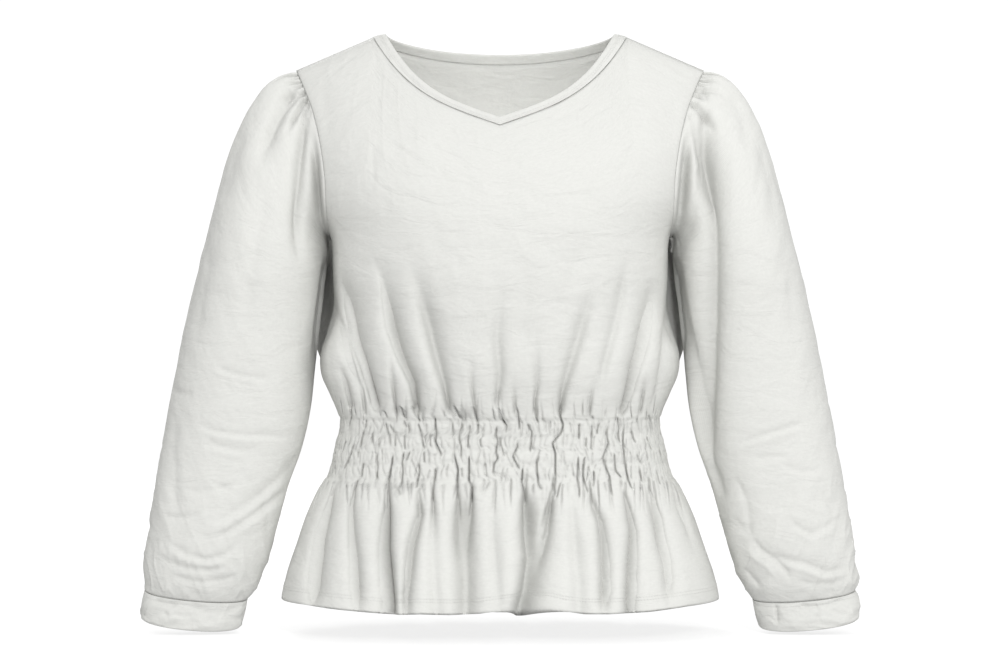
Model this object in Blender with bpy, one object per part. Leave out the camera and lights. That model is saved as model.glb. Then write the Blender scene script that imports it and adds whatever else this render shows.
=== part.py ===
"""A long-sleeved top with a shirred waist and a flared peplum, hollow and open as it is worn.

Metres, +Z up. The front faces -Y and X is the width. The origin lies midway between the two high
points of the shoulders, where the wearer carries the garment. Right and left are the wearer's, so
the right sleeve is at -X. Every piece is a wall of cloth, and pieces lie SEAM_GAP apart at seams.
"""

import math
from collections import namedtuple

import bpy
import numpy as np

# ---------------------------------------------------------------- cloth and seams
CLOTH_WALL = 0.0016
BAND_WALL = 0.0026
BAND_RAISE = 0.0005
SEAM_GAP = 0.0003
CLOTH_COLOUR = (0.80, 0.80, 0.78, 1.0)
CLOTH_ROUGHNESS = 0.85

# ---------------------------------------------------------------- shoulders, neck and underarm
NECK_HALF_WIDTH = 0.1188
NECK_V_DROP = 0.0933
NECK_V_SLOPE = 0.36
NECK_BACK_DROP = 0.0148
NECK_CURVE_POWER = 3.7
BAND_DROP_AT_V = 0.0085
BAND_DROP_AT_BACK = 0.0097
BAND_HALF_WIDTH = 0.1323
BAND_RIDGE_Z = -0.0032
SHOULDER_TIP_X = 0.2125
SHOULDER_TIP_Z = -0.0378
RIDGE_RISE_AT_CENTRE = 0.018
UNDERARM_Z = -0.2146
ROOF_START_Z = -0.14
ROOF_POWER = {"front": 1.8, "back": 2.2}
SECTION_POWER = 2.4

# Torso sections: half width at the side seam, and how far front and back stand from the y = 0 plane.
# Above the underarm the half width is that of the form that the armholes are cut from.
Section = namedtuple("Section", "z side front back lat")
TORSO = [
    Section(z=-0.5860, side=0.2270, front=0.148, back=0.140, lat=0.000),
    Section(z=-0.5600, side=0.2215, front=0.142, back=0.134, lat=0.000),
    Section(z=-0.5300, side=0.2115, front=0.131, back=0.122, lat=0.000),
    Section(z=-0.5000, side=0.2012, front=0.117, back=0.107, lat=0.000),
    Section(z=-0.4750, side=0.1895, front=0.106, back=0.096, lat=0.000),
    Section(z=-0.4600, side=0.1805, front=0.101, back=0.091, lat=0.000),
    Section(z=-0.4300, side=0.1725, front=0.098, back=0.088, lat=0.000),
    Section(z=-0.4000, side=0.1670, front=0.099, back=0.088, lat=0.000),
    Section(z=-0.3750, side=0.1765, front=0.108, back=0.095, lat=0.000),
    Section(z=-0.3450, side=0.1870, front=0.117, back=0.101, lat=0.000),
    Section(z=-0.3200, side=0.1800, front=0.121, back=0.103, lat=0.003),
    Section(z=-0.2900, side=0.1735, front=0.125, back=0.104, lat=0.009),
    Section(z=-0.2575, side=0.1735, front=0.129, back=0.106, lat=0.010),
    Section(z=-0.2146, side=0.1755, front=0.129, back=0.110, lat=0.006),
    Section(z=-0.1700, side=0.1955, front=0.123, back=0.116, lat=0.000),
    Section(z=-0.1300, side=0.2050, front=0.111, back=0.118, lat=0.000),
    Section(z=-0.0900, side=0.2105, front=0.094, back=0.114, lat=0.000),
    Section(z=-0.0400, side=0.2130, front=0.075, back=0.104, lat=0.000),
    Section(z=0.0200, side=0.2130, front=0.070, back=0.094, lat=0.000),
]

# Where the front and the back end at the armhole, from the underarm up to the shoulder tip.
Armhole = namedtuple("Armhole", "z front back")
ARMHOLE = [
    Armhole(z=UNDERARM_Z, front=0.1755, back=0.1755),
    Armhole(z=-0.2000, front=0.1772, back=0.1805),
    Armhole(z=-0.1750, front=0.1780, back=0.1860),
    Armhole(z=-0.1560, front=0.1785, back=0.1885),
    Armhole(z=-0.1300, front=0.1818, back=0.1915),
    Armhole(z=-0.1040, front=0.1870, back=0.1955),
    Armhole(z=-0.0800, front=0.1940, back=0.2005),
    Armhole(z=-0.0594, front=0.2025, back=0.2065),
    Armhole(z=SHOULDER_TIP_Z, front=SHOULDER_TIP_X, back=SHOULDER_TIP_X),
]

# ---------------------------------------------------------------- rows and columns of the panels
HEM_Z = -0.586
SHIRR_TOP_Z = -0.400
SHIRR_STEP = 0.015
SHIRR_ROWS = 5
SHIRR_PINCH = 0.0012
PEPLUM_LEVELS = (HEM_Z, -0.566, -0.540, -0.512, -0.485)
BODICE_LEVELS = (-0.378, -0.346, -0.304, -0.260)
UPPER_CLIMB = (0.025, 0.085, 0.20, 0.37, 0.56, 0.75, 0.91, 1.0)
HALF_COLUMNS = {"front": 18, "back": 14}
NECK_COLUMNS = {"front": 11, "back": 9}
# Columns crowd towards the shoulder, where the neckline turns back: 0 is even, 1 is by angle.
NECK_SWING = 0.5

# Largest folds, as soft troughs. Each runs through three points (x, z), from its top to its bottom,
# and is this deep and this wide in the middle.
Fold = namedtuple("Fold", "x_top z_top x_mid z_mid x_low z_low depth width")
FRONT_FOLDS = [
    Fold(-0.163, -0.234, -0.140, -0.315, -0.119, -0.387, 0.0070, 0.012),
    Fold(-0.113, -0.238, -0.096, -0.328, -0.084, -0.393, 0.0055, 0.011),
    Fold(-0.086, -0.238, -0.058, -0.323, -0.042, -0.394, 0.0055, 0.012),
    Fold(-0.002, -0.284, -0.003, -0.338, -0.004, -0.385, 0.0035, 0.012),
    Fold(0.086, -0.300, 0.068, -0.355, 0.060, -0.394, 0.0055, 0.011),
    Fold(0.125, -0.238, 0.117, -0.310, 0.108, -0.365, 0.0035, 0.012),
    Fold(0.153, -0.277, 0.134, -0.341, 0.120, -0.394, 0.0065, 0.011),
    Fold(-0.165, -0.460, -0.183, -0.520, -0.190, -0.600, 0.0075, 0.012),
    Fold(-0.143, -0.461, -0.149, -0.520, -0.143, -0.590, 0.0055, 0.011),
    Fold(-0.112, -0.463, -0.113, -0.530, -0.108, -0.610, 0.0120, 0.012),
    Fold(-0.083, -0.465, -0.082, -0.515, -0.093, -0.585, 0.0050, 0.011),
    Fold(-0.036, -0.460, -0.038, -0.530, -0.034, -0.600, 0.0090, 0.014),
    Fold(0.038, -0.460, 0.038, -0.530, 0.035, -0.610, 0.0120, 0.016),
    Fold(0.091, -0.466, 0.098, -0.530, 0.106, -0.580, 0.0060, 0.012),
    Fold(0.119, -0.470, 0.126, -0.530, 0.124, -0.600, 0.0065, 0.011),
    Fold(0.152, -0.465, 0.163, -0.515, 0.167, -0.570, 0.0050, 0.012),
    Fold(0.178, -0.460, 0.193, -0.510, 0.204, -0.570, 0.0045, 0.012),
]
BACK_FOLDS = [
    Fold(-0.150, -0.270, -0.134, -0.340, -0.121, -0.394, 0.0060, 0.013),
    Fold(-0.098, -0.250, -0.084, -0.325, -0.072, -0.394, 0.0050, 0.013),
    Fold(-0.030, -0.290, -0.026, -0.345, -0.020, -0.394, 0.0045, 0.013),
    Fold(0.044, -0.262, 0.040, -0.330, 0.033, -0.394, 0.0050, 0.013),
    Fold(0.106, -0.275, 0.092, -0.340, 0.083, -0.394, 0.0055, 0.013),
    Fold(0.157, -0.255, 0.140, -0.330, 0.128, -0.394, 0.0060, 0.013),
    Fold(-0.168, -0.460, -0.184, -0.520, -0.194, -0.600, 0.0070, 0.014),
    Fold(-0.126, -0.462, -0.134, -0.525, -0.137, -0.600, 0.0065, 0.013),
    Fold(-0.084, -0.460, -0.088, -0.525, -0.093, -0.600, 0.0090, 0.014),
    Fold(-0.030, -0.462, -0.034, -0.525, -0.030, -0.590, 0.0065, 0.014),
    Fold(0.016, -0.460, 0.019, -0.525, 0.023, -0.600, 0.0095, 0.014),
    Fold(0.064, -0.462, 0.069, -0.520, 0.070, -0.590, 0.0060, 0.013),
    Fold(0.103, -0.460, 0.111, -0.525, 0.118, -0.600, 0.0085, 0.014),
    Fold(0.157, -0.462, 0.171, -0.520, 0.181, -0.590, 0.0065, 0.014),
]
PANEL_FOLDS = {"front": FRONT_FOLDS, "back": BACK_FOLDS}
FOLD_FADE = 0.28

# ---------------------------------------------------------------- sleeves and cuffs
# Level sections of a sleeve on the +X side: its middle, half width and half depth.
Tube = namedtuple("Tube", "z middle_x half_x middle_y half_y")
SLEEVE = [
    Tube(z=-0.2450, middle_x=0.2473, half_x=0.0668, middle_y=0.000, half_y=0.074),
    Tube(z=-0.2750, middle_x=0.2524, half_x=0.0682, middle_y=0.000, half_y=0.070),
    Tube(z=-0.3100, middle_x=0.2582, half_x=0.0702, middle_y=-0.001, half_y=0.066),
    Tube(z=-0.3500, middle_x=0.2644, half_x=0.0718, middle_y=-0.003, half_y=0.062),
    Tube(z=-0.3900, middle_x=0.2704, half_x=0.0735, middle_y=-0.005, half_y=0.059),
    Tube(z=-0.4300, middle_x=0.2785, half_x=0.0727, middle_y=-0.007, half_y=0.056),
    Tube(z=-0.4700, middle_x=0.2889, half_x=0.0691, middle_y=-0.010, half_y=0.053),
    Tube(z=-0.5100, middle_x=0.2975, half_x=0.0663, middle_y=-0.013, half_y=0.050),
    Tube(z=-0.5450, middle_x=0.3048, half_x=0.0630, middle_y=-0.016, half_y=0.044),
    Tube(z=-0.5680, middle_x=0.3111, half_x=0.0586, middle_y=-0.018, half_y=0.036),
]
CUFF_TOP = Tube(z=-0.5815, middle_x=0.3144, half_x=0.0534, middle_y=-0.019, half_y=0.029)
CUFF_MIDDLE = Tube(z=-0.5965, middle_x=0.3176, half_x=0.0533, middle_y=-0.019, half_y=0.029)
CUFF_BOTTOM = Tube(z=-0.6100, middle_x=0.3197, half_x=0.0520, middle_y=-0.019, half_y=0.028)
# How the cuff's edges slope: down towards the body, and down towards the front.
CUFF_SLOPE_X = 0.090
CUFF_SLOPE_Y = {"top": 0.17, "bottom": 0.24}
CUFF_SLOPE_START = 0.10
TUBE_POWER = 2.15

# The sleeve cap between the armhole and the first level section, as rows along smooth arcs.
CAP_STEPS = (0.10, 0.26, 0.46, 0.72)
CAP_REACH = {"underarm": 0.012, "front": 0.030, "tip": 0.050}
CAP_LIFT = 0.56
CAP_FALL = {"underarm": 0.021, "tip": 0.118}

# Sleeve folds by direction round the tube, in degrees from the body side through the front.
TubeFold = namedtuple("TubeFold", "angle z_top z_low depth width")
SLEEVE_FOLDS = {
    "right": [
        TubeFold(angle=66, z_top=-0.085, z_low=-0.300, depth=0.0060, width=16),
        TubeFold(angle=112, z_top=-0.060, z_low=-0.210, depth=0.0040, width=18),
        TubeFold(angle=290, z_top=-0.090, z_low=-0.330, depth=0.0050, width=18),
    ],
    "left": [
        TubeFold(angle=80, z_top=-0.090, z_low=-0.430, depth=0.0060, width=17),
        TubeFold(angle=122, z_top=-0.070, z_low=-0.250, depth=0.0035, width=18),
        TubeFold(angle=286, z_top=-0.090, z_low=-0.320, depth=0.0050, width=18),
    ],
}


# ================================================================ curves from the tables
def smooth(table, column, z):
    """The named column of a table as a smooth curve, read at these heights."""
    rows = sorted(table, key=lambda row: row.z)
    heights = np.array([row.z for row in rows])
    values = np.array([getattr(row, column) for row in rows])
    slopes = np.gradient(values, heights)
    z = np.clip(z, heights[0], heights[-1])
    i = np.clip(np.searchsorted(heights, z) - 1, 0, len(rows) - 2)
    step = heights[i + 1] - heights[i]
    t = (z - heights[i]) / step
    rise = values[i] * (1 + 2 * t) * (1 - t) ** 2 + values[i + 1] * t * t * (3 - 2 * t)
    lean = step * t * (1 - t) * (slopes[i] * (1 - t) - slopes[i + 1] * t)
    return rise + lean


def ridge_z(x):
    """Height of the shoulder line, and of the form above the neck opening."""
    x = np.abs(x)
    slope = (SHOULDER_TIP_Z - BAND_RIDGE_Z) / (SHOULDER_TIP_X - BAND_HALF_WIDTH)
    outer = BAND_RIDGE_Z + slope * (x - BAND_HALF_WIDTH)
    inner = RIDGE_RISE_AT_CENTRE * (1 - (x / NECK_HALF_WIDTH) ** 2)
    near_neck = BAND_RIDGE_Z * (x - NECK_HALF_WIDTH) / (BAND_HALF_WIDTH - NECK_HALF_WIDTH)
    return np.where(x > BAND_HALF_WIDTH, outer, np.where(x > NECK_HALF_WIDTH, near_neck, inner))


def neck_edge_z(x, facing):
    """Height of the open edge of the neckband."""
    share = np.abs(x) / NECK_HALF_WIDTH
    if facing == "back":
        return -NECK_BACK_DROP * np.maximum(1 - share**2, 0) ** 0.75
    straight = NECK_V_SLOPE * NECK_HALF_WIDTH
    return -NECK_V_DROP + straight * share + (NECK_V_DROP - straight) * share**NECK_CURVE_POWER


def neck_seam_z(x, facing):
    """Height of the seam between the neckband and a panel."""
    share = np.abs(x) / BAND_HALF_WIDTH
    if facing == "back":
        drop = NECK_BACK_DROP + BAND_DROP_AT_BACK + BAND_RIDGE_Z
        return BAND_RIDGE_Z - drop * np.maximum(1 - share**2, 0) ** 0.75
    bottom = -NECK_V_DROP - BAND_DROP_AT_V
    straight = NECK_V_SLOPE * BAND_HALF_WIDTH
    return bottom + straight * share + (BAND_RIDGE_Z - bottom - straight) * share**NECK_CURVE_POWER


def torso_depth(x, z, facing):
    """Distance of the plain torso form from the y = 0 plane."""
    across = 1 - np.minimum(np.abs(x) / smooth(TORSO, "side", z), 1) ** SECTION_POWER
    rise = np.clip((z - ROOF_START_Z) / (ridge_z(x) - ROOF_START_Z), 0, 1)
    power = ROOF_POWER[facing]
    roof = (1 - rise**power) ** (1 / power)
    return smooth(TORSO, facing, z) * across ** (1 / SECTION_POWER) * roof


def fold_depth(folds, x, z):
    """How far the folds pull the cloth in at a point of a panel."""
    total = np.zeros_like(x)
    for fold in folds:
        along = np.clip((fold.z_top - z) / (fold.z_top - fold.z_low), 0, 1)
        middle = (fold.z_top - fold.z_mid) / (fold.z_top - fold.z_low)
        bend = (fold.x_mid - fold.x_top - (fold.x_low - fold.x_top) * middle) / (middle * (1 - middle))
        line = fold.x_top + (fold.x_low - fold.x_top) * along + bend * along * (1 - along)
        ends = np.minimum(np.minimum(along, 1 - along) / FOLD_FADE, 1)
        total += fold.depth * ends * (2 - ends) * np.exp(-(((x - line) / fold.width) ** 2))
    return total


# ================================================================ panels
def panel_levels():
    """Heights of the level rows, from the hem up to the underarm, and which of them are pinched."""
    shirring = [SHIRR_TOP_Z - SHIRR_STEP * step / 2 for step in range(2 * SHIRR_ROWS - 2, -1, -1)]
    levels = list(PEPLUM_LEVELS) + shirring + list(BODICE_LEVELS) + [UNDERARM_Z]
    return np.array(levels)


def puff(z):
    """The cloth swells between two rows of elastic and is pinched on each row."""
    inside = (z <= SHIRR_TOP_Z) & (z >= SHIRR_TOP_Z - SHIRR_STEP * (SHIRR_ROWS - 1))
    wave = -np.cos(2 * math.pi * (z - SHIRR_TOP_Z) / SHIRR_STEP)
    return np.where(inside, SHIRR_PINCH * wave, 0.0)


def level_row(z, turns, facing):
    """One level row of a panel: points round a half section, from the right side to the left."""
    side = smooth(TORSO, "side", z)
    depth = smooth(TORSO, facing, z)
    x = side * np.sign(np.sin(turns)) * np.abs(np.sin(turns)) ** (2 / SECTION_POWER)
    y = depth * np.abs(np.cos(turns)) ** (2 / SECTION_POWER)
    if facing == "back":
        x = x + np.sign(turns) * smooth(TORSO, "lat", z) * np.sin(2 * np.abs(turns)) ** 2
    return x, y


def panel_form(facing):
    """The outer face of a panel without folds, as rows of (x, y, z) from the hem to the shoulder."""
    half = HALF_COLUMNS[facing]
    neck = NECK_COLUMNS[facing]
    columns = np.arange(-half, half + 1)
    turns = columns / half * math.pi / 2
    rows = []
    for z in panel_levels():
        x, y = level_row(z, turns, facing)
        rows.append(np.stack([x, y, np.full_like(x, z)], axis=1))

    inside_neck = np.abs(columns) <= neck
    neck_share = np.abs(columns) / neck
    swing = np.sin(neck_share * math.pi / 2)
    over_neck = BAND_HALF_WIDTH * np.where(inside_neck, (1 - NECK_SWING) * neck_share + NECK_SWING * swing, 1)
    over_shoulder = BAND_HALF_WIDTH + (SHOULDER_TIP_X - BAND_HALF_WIDTH) * (
        (np.abs(columns) - neck) / (half - neck)
    )
    top_x = np.sign(columns) * np.where(inside_neck, over_neck, over_shoulder)
    top_z = np.where(inside_neck, neck_seam_z(top_x, facing), ridge_z(top_x))
    low_x = rows[-1][:, 0]
    low_y = rows[-1][:, 1]
    for climb in UPPER_CLIMB:
        z = UNDERARM_Z + (top_z - UNDERARM_Z) * climb
        x = low_x + (top_x - low_x) * climb
        edge = smooth(ARMHOLE, facing, z[-1])
        x = x + (edge - x[-1]) * np.sign(columns) * (np.abs(columns) / half) ** 3
        y = torso_depth(x, z, facing)
        lift = low_y - torso_depth(low_x, np.full_like(low_x, UNDERARM_Z), facing)
        y = y + lift * (1 - climb) * (1 - (np.abs(columns) / half) ** 4)
        rows.append(np.stack([x, y, z], axis=1))
    return np.array(rows)


def unit(vectors):
    return vectors / np.linalg.norm(vectors, axis=-1, keepdims=True)


def grid_normals(points, outward):
    """Unit normals of a grid of points, all on the side that the outward vectors mostly point to."""
    across = np.gradient(points, axis=1)
    along = np.gradient(points, axis=0)
    normals = unit(np.cross(across, along))
    return normals * np.sign(np.sum(normals * outward))


def panel(facing):
    """Outer points and normals of a panel with its folds. The rows run up and the columns to +X."""
    form = panel_form(facing)
    sign = -1 if facing == "front" else 1
    form[..., 1] *= sign
    outward = form * [1.0, 1.0, 0.0] + [0.0, sign * 0.02, 0.0]
    normals = grid_normals(form, outward)

    half = HALF_COLUMNS[facing]
    edge_share = np.abs(np.arange(-half, half + 1)) / half
    away_from_seams = 1 - edge_share**6
    away_from_top = np.ones(len(form))
    away_from_top[-1] = 0
    inward = fold_depth(PANEL_FOLDS[facing], form[..., 0], form[..., 2]) - puff(form[..., 2])
    inward = inward * away_from_seams[None, :] * away_from_top[:, None]
    points = form - normals * inward[..., None]

    normals = grid_normals(points, outward)
    # Side and shoulder seams lie in one plane with the other panel's, so their walls do too.
    points[:, 0, 1] = np.where(points[:, 0, 1] * sign < SEAM_GAP / 2, sign * SEAM_GAP / 2, points[:, 0, 1])
    points[:, -1, 1] = np.where(points[:, -1, 1] * sign < SEAM_GAP / 2, sign * SEAM_GAP / 2, points[:, -1, 1])
    level_rows = len(panel_levels())
    neck = NECK_COLUMNS[facing]
    flat = np.zeros(points.shape[:2], bool)
    flat[:level_rows, 0] = True
    flat[:level_rows, -1] = True
    flat[-1, : half - neck + 1] = True
    flat[-1, half + neck :] = True
    points[-1, : half - neck + 1, 1] = sign * SEAM_GAP / 2
    points[-1, half + neck :, 1] = sign * SEAM_GAP / 2
    normals[flat, 1] = 0
    normals = unit(normals)
    # Along the neckline the wall turns gently from column to column, as the neckband's does.
    for _ in range(2):
        top = normals[-1]
        blended = unit(top[:-2] + 2 * top[1:-1] + top[2:])
        normals[-1, 1:-1] = np.where(flat[-1, 1:-1, None], top[1:-1], blended)
    return points, normals


# ================================================================ walls from grids of points
def add_object(name, vertices, faces):
    """A named mesh object with its own cloth material."""
    mesh = bpy.data.meshes.new(name)
    mesh.from_pydata([tuple(map(float, point)) for point in vertices], [], faces)
    mesh.validate()
    mesh.shade_smooth()
    made = bpy.data.objects.new(name, mesh)
    bpy.context.scene.collection.objects.link(made)
    material = bpy.data.materials.new(name + "_cloth")
    material.use_nodes = True
    shader = material.node_tree.nodes["Principled BSDF"]
    shader.inputs["Base Color"].default_value = CLOTH_COLOUR
    shader.inputs["Roughness"].default_value = CLOTH_ROUGHNESS
    made.data.materials.append(material)
    return made


def rim_faces(vertices, a, b, offset):
    """Two triangles across the wall between neighbours a and b. The one farther from the origin starts
    the diagonal, so that the rims of two pieces at a seam are split alike."""
    if np.linalg.norm(vertices[a]) > np.linalg.norm(vertices[b]):
        return [(a, b, b + offset), (a, b + offset, a + offset)]
    return [(a, b, a + offset), (b, b + offset, a + offset)]


def wall(name, outer, inner, closed):
    """A closed wall between two grids of points. A closed grid joins its last column to its first."""
    rows, columns = outer.shape[:2]
    vertices = np.concatenate([outer.reshape(-1, 3), inner.reshape(-1, 3)])
    offset = rows * columns
    spans = columns if closed else columns - 1
    faces = []
    for row in range(rows - 1):
        for column in range(spans):
            after = (column + 1) % columns
            a = row * columns + column
            b = row * columns + after
            c = (row + 1) * columns + after
            d = (row + 1) * columns + column
            faces.append((a, b, c, d))
            faces.append((a + offset, d + offset, c + offset, b + offset))
    top = (rows - 1) * columns
    rims = []
    for column in range(spans):
        after = (column + 1) % columns
        rims.append((after, column))
        rims.append((top + column, top + after))
    if not closed:
        for row in range(rows - 1):
            start = row * columns
            above = start + columns
            rims.append((start, above))
            rims.append((above + columns - 1, start + columns - 1))
    for a, b in rims:
        faces += rim_faces(vertices, a, b, offset)
    made = add_object(name, vertices, faces)
    turn_outward(made)
    return made


def turn_outward(made):
    """Flip every face of a closed mesh whose volume comes out negative."""
    mesh = made.data
    volume = 0.0
    for face in mesh.polygons:
        corners = [mesh.vertices[i].co for i in face.vertices]
        for second, third in zip(corners[1:-1], corners[2:]):
            volume += corners[0].dot(second.cross(third))
    if volume < 0:
        mesh.flip_normals()


# ================================================================ sleeves and cuffs
def tube_ring(tube, turns, mirror):
    """Points round a level section, from the body side through the front."""
    power = 2 / TUBE_POWER
    x = tube.middle_x - tube.half_x * np.sign(np.cos(turns)) * np.abs(np.cos(turns)) ** power
    y = tube.middle_y - tube.half_y * np.sign(np.sin(turns)) * np.abs(np.sin(turns)) ** power
    return np.stack([mirror * x, y, np.full_like(x, tube.z)], axis=1)


def sloped(ring, tube, mirror, slope_y, share):
    """A ring lowered towards the body and towards the front, by a share of the cuff's slopes."""
    towards_body = tube.middle_x - mirror * ring[:, 0]
    towards_front = tube.middle_y - ring[:, 1]
    ring[:, 2] -= share * (CUFF_SLOPE_X * towards_body + slope_y * towards_front)
    return ring


def armhole_ring(panels, mirror):
    """Edge points, their normals and the directions off the cloth, from the underarm up the front,
    over the shoulder tip and down the back."""
    first = len(panel_levels()) - 1
    column = -1 if mirror > 0 else 0
    front_points, front_normals = panels["front"]
    back_points, back_normals = panels["back"]
    points = np.concatenate([front_points[first:, column], back_points[first + 1 : -1, column][::-1]])
    normals = np.concatenate([front_normals[first:, column], back_normals[first + 1 : -1, column][::-1]])
    points[[0, len(UPPER_CLIMB)], 1] = 0.0
    tangents = np.roll(points, -1, axis=0) - np.roll(points, 1, axis=0)
    return points, normals, unit(np.cross(tangents, normals)) * mirror


def cap_rows(points, off, target, mirror):
    """Rows of the sleeve cap: arcs that leave the armhole and come down onto the first section."""
    count = len(points)
    turns = 2 * math.pi * np.arange(count) / count
    tipward = (1 - np.cos(turns)) / 2
    sideways = np.abs(np.sin(turns))
    reach = CAP_REACH["underarm"] * (1 - tipward) + CAP_REACH["tip"] * tipward**2
    reach = reach + CAP_REACH["front"] * sideways**2 * 0.5
    lift = np.stack([np.full(count, float(mirror)), np.zeros(count), CAP_LIFT * tipward**2], axis=1)
    leave = unit(off + (0.35 + 0.15 * tipward)[:, None] * (lift - off))
    second = points + leave * reach[:, None]
    fall = CAP_FALL["underarm"] + (CAP_FALL["tip"] - CAP_FALL["underarm"]) * tipward**1.6
    lean = -mirror * (0.12 + 0.12 * tipward)
    third = target + np.stack([lean, np.zeros(count), np.ones(count)], axis=1) * fall[:, None]
    rows = []
    for t in CAP_STEPS:
        rows.append(
            points * (1 - t) ** 3 + 3 * second * t * (1 - t) ** 2 + 3 * third * t * t * (1 - t) + target * t**3
        )
    return rows


def sleeve_fold_depth(folds, turns, z):
    """How far a sleeve's folds pull it in, at these directions and heights."""
    total = np.zeros_like(z)
    for fold in folds:
        along = np.clip((fold.z_top - z) / (fold.z_top - fold.z_low), 0, 1)
        ends = np.minimum(np.minimum(along, 1 - along) / FOLD_FADE, 1)
        off = (np.degrees(turns)[None, :] - fold.angle) / fold.width
        total += fold.depth * ends * (2 - ends) * np.exp(-(off**2))
    return total


def build_sleeve(side, panels):
    mirror = -1 if side == "right" else 1
    edge, edge_normals, off = armhole_ring(panels, mirror)
    count = len(edge)
    turns = 2 * math.pi * np.arange(count) / count
    start = edge + off * SEAM_GAP

    rings = []
    for tube in SLEEVE + [CUFF_TOP]:
        share = np.clip((SLEEVE[-1].z + CUFF_SLOPE_START - tube.z) / CUFF_SLOPE_START, 0, 1)
        share = 1.0 if tube is CUFF_TOP else share
        rings.append(sloped(tube_ring(tube, turns, mirror), tube, mirror, CUFF_SLOPE_Y["top"], share))
    rows = np.array([start] + cap_rows(start, off, rings[0], mirror) + rings)

    middles = rows.mean(axis=1, keepdims=True)
    outward = rows - middles
    wrapped = np.concatenate([rows[:, -1:], rows, rows[:, :1]], axis=1)
    wrapped_out = np.concatenate([outward[:, -1:], outward, outward[:, :1]], axis=1)
    normals = grid_normals(wrapped, wrapped_out)[:, 1:-1]
    depth = sleeve_fold_depth(SLEEVE_FOLDS[side], turns, rows[..., 2])
    depth[:3] *= np.array([[0.0], [0.2], [0.6]])
    depth[-1] = 0
    rows = rows - normals * depth[..., None]
    normals[0] = edge_normals
    normals[-1, :, 2] = 0
    normals = unit(normals)
    wall("sleeve_" + side, rows, rows - normals * CLOTH_WALL, closed=True)
    return count


def build_cuff(side, count):
    mirror = -1 if side == "right" else 1
    turns = 2 * math.pi * np.arange(count) / count
    middle_slope = (CUFF_SLOPE_Y["top"] + CUFF_SLOPE_Y["bottom"]) / 2
    slopes = (CUFF_SLOPE_Y["top"], middle_slope, CUFF_SLOPE_Y["bottom"])
    outer = []
    inner = []
    for tube, slope_y in zip((CUFF_TOP, CUFF_MIDDLE, CUFF_BOTTOM), slopes):
        thinner = tube._replace(half_x=tube.half_x - BAND_WALL, half_y=tube.half_y - BAND_WALL)
        outer.append(sloped(tube_ring(tube, turns, mirror), tube, mirror, slope_y, 1.0))
        inner.append(sloped(tube_ring(thinner, turns, mirror), tube, mirror, slope_y, 1.0))
    outer = np.array(outer)
    inner = np.array(inner)
    outer[0, :, 2] -= SEAM_GAP
    inner[0, :, 2] -= SEAM_GAP
    wall("cuff_" + side, outer, inner, closed=True)


# ================================================================ neckband
def band_edge(facing, points, normals):
    """Seam-side and open-side points of the neckband along one panel, from -X to +X."""
    half = HALF_COLUMNS[facing]
    neck = NECK_COLUMNS[facing]
    seam = points[-1, half - neck : half + neck + 1].copy()
    seam_normals = normals[-1, half - neck : half + neck + 1].copy()
    sign = -1 if facing == "front" else 1
    open_x = seam[:, 0] * NECK_HALF_WIDTH / BAND_HALF_WIDTH
    open_z = neck_edge_z(open_x, facing)
    open_y = sign * torso_depth(open_x, open_z, facing)
    opened = np.stack([open_x, open_y, open_z], axis=1)
    return seam, opened, seam_normals


def build_neckband(panels):
    front_seam, front_open, front_normals = band_edge("front", *panels["front"])
    back_seam, back_open, back_normals = band_edge("back", *panels["back"])
    seam = np.concatenate([front_seam, back_seam[1:-1][::-1]])
    opened = np.concatenate([front_open, back_open[1:-1][::-1]])
    normals = np.concatenate([front_normals, back_normals[1:-1][::-1]])
    last = len(front_seam) - 1
    seam[[0, last], 1] = 0.0
    opened[[0, last], 1] = 0.0
    along = np.roll(seam, -1, axis=0) - np.roll(seam, 1, axis=0)
    off = np.cross(along, normals)
    inward = seam * [-1.0, -1.0, 0.0] + [0.0, 0.0, RIDGE_RISE_AT_CENTRE]
    off *= np.sign(np.sum(off * inward, axis=1, keepdims=True))
    seam = seam + unit(off) * SEAM_GAP
    outer = np.array([seam, opened]) + normals[None] * BAND_RAISE
    wall("neckband", outer, outer - normals[None] * BAND_WALL, closed=True)


# ================================================================ the garment
def main():
    for thing in list(bpy.data.objects):
        bpy.data.objects.remove(thing, do_unlink=True)
    panels = {facing: panel(facing) for facing in ("front", "back")}
    for facing, (points, normals) in panels.items():
        wall(facing, points, points - normals * CLOTH_WALL, closed=False)
    for side in ("right", "left"):
        count = build_sleeve(side, panels)
        build_cuff(side, count)
    build_neckband(panels)


main()
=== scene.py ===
"""The look of the long-sleeved top: each piece of its cloth as a thin shell with its folds and gathers,
its bands and stitches, the jersey's material, a pale floor, soft light and the camera.

Metres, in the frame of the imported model. The front faces -Y. Right and left are the wearer's.
"""

import math
from collections import namedtuple

import bpy
import numpy as np
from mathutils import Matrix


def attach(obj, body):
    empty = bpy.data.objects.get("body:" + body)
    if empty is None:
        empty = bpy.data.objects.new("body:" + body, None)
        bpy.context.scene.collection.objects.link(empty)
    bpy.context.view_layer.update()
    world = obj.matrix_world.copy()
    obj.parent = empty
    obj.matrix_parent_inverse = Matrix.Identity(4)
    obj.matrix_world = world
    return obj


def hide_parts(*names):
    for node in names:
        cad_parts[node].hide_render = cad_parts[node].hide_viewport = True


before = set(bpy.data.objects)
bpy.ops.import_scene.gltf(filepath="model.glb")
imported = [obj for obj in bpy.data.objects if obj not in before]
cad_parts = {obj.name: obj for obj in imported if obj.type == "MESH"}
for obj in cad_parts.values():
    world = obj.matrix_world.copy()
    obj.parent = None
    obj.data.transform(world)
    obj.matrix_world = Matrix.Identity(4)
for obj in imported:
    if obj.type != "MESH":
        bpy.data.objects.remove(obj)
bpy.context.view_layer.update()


# ================================================================ tables and curves
def table(columns, rows):
    """Rows of plain values as rows with named columns."""
    row_kind = namedtuple("Row", columns)
    return [row_kind(*row) for row in rows]


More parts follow.
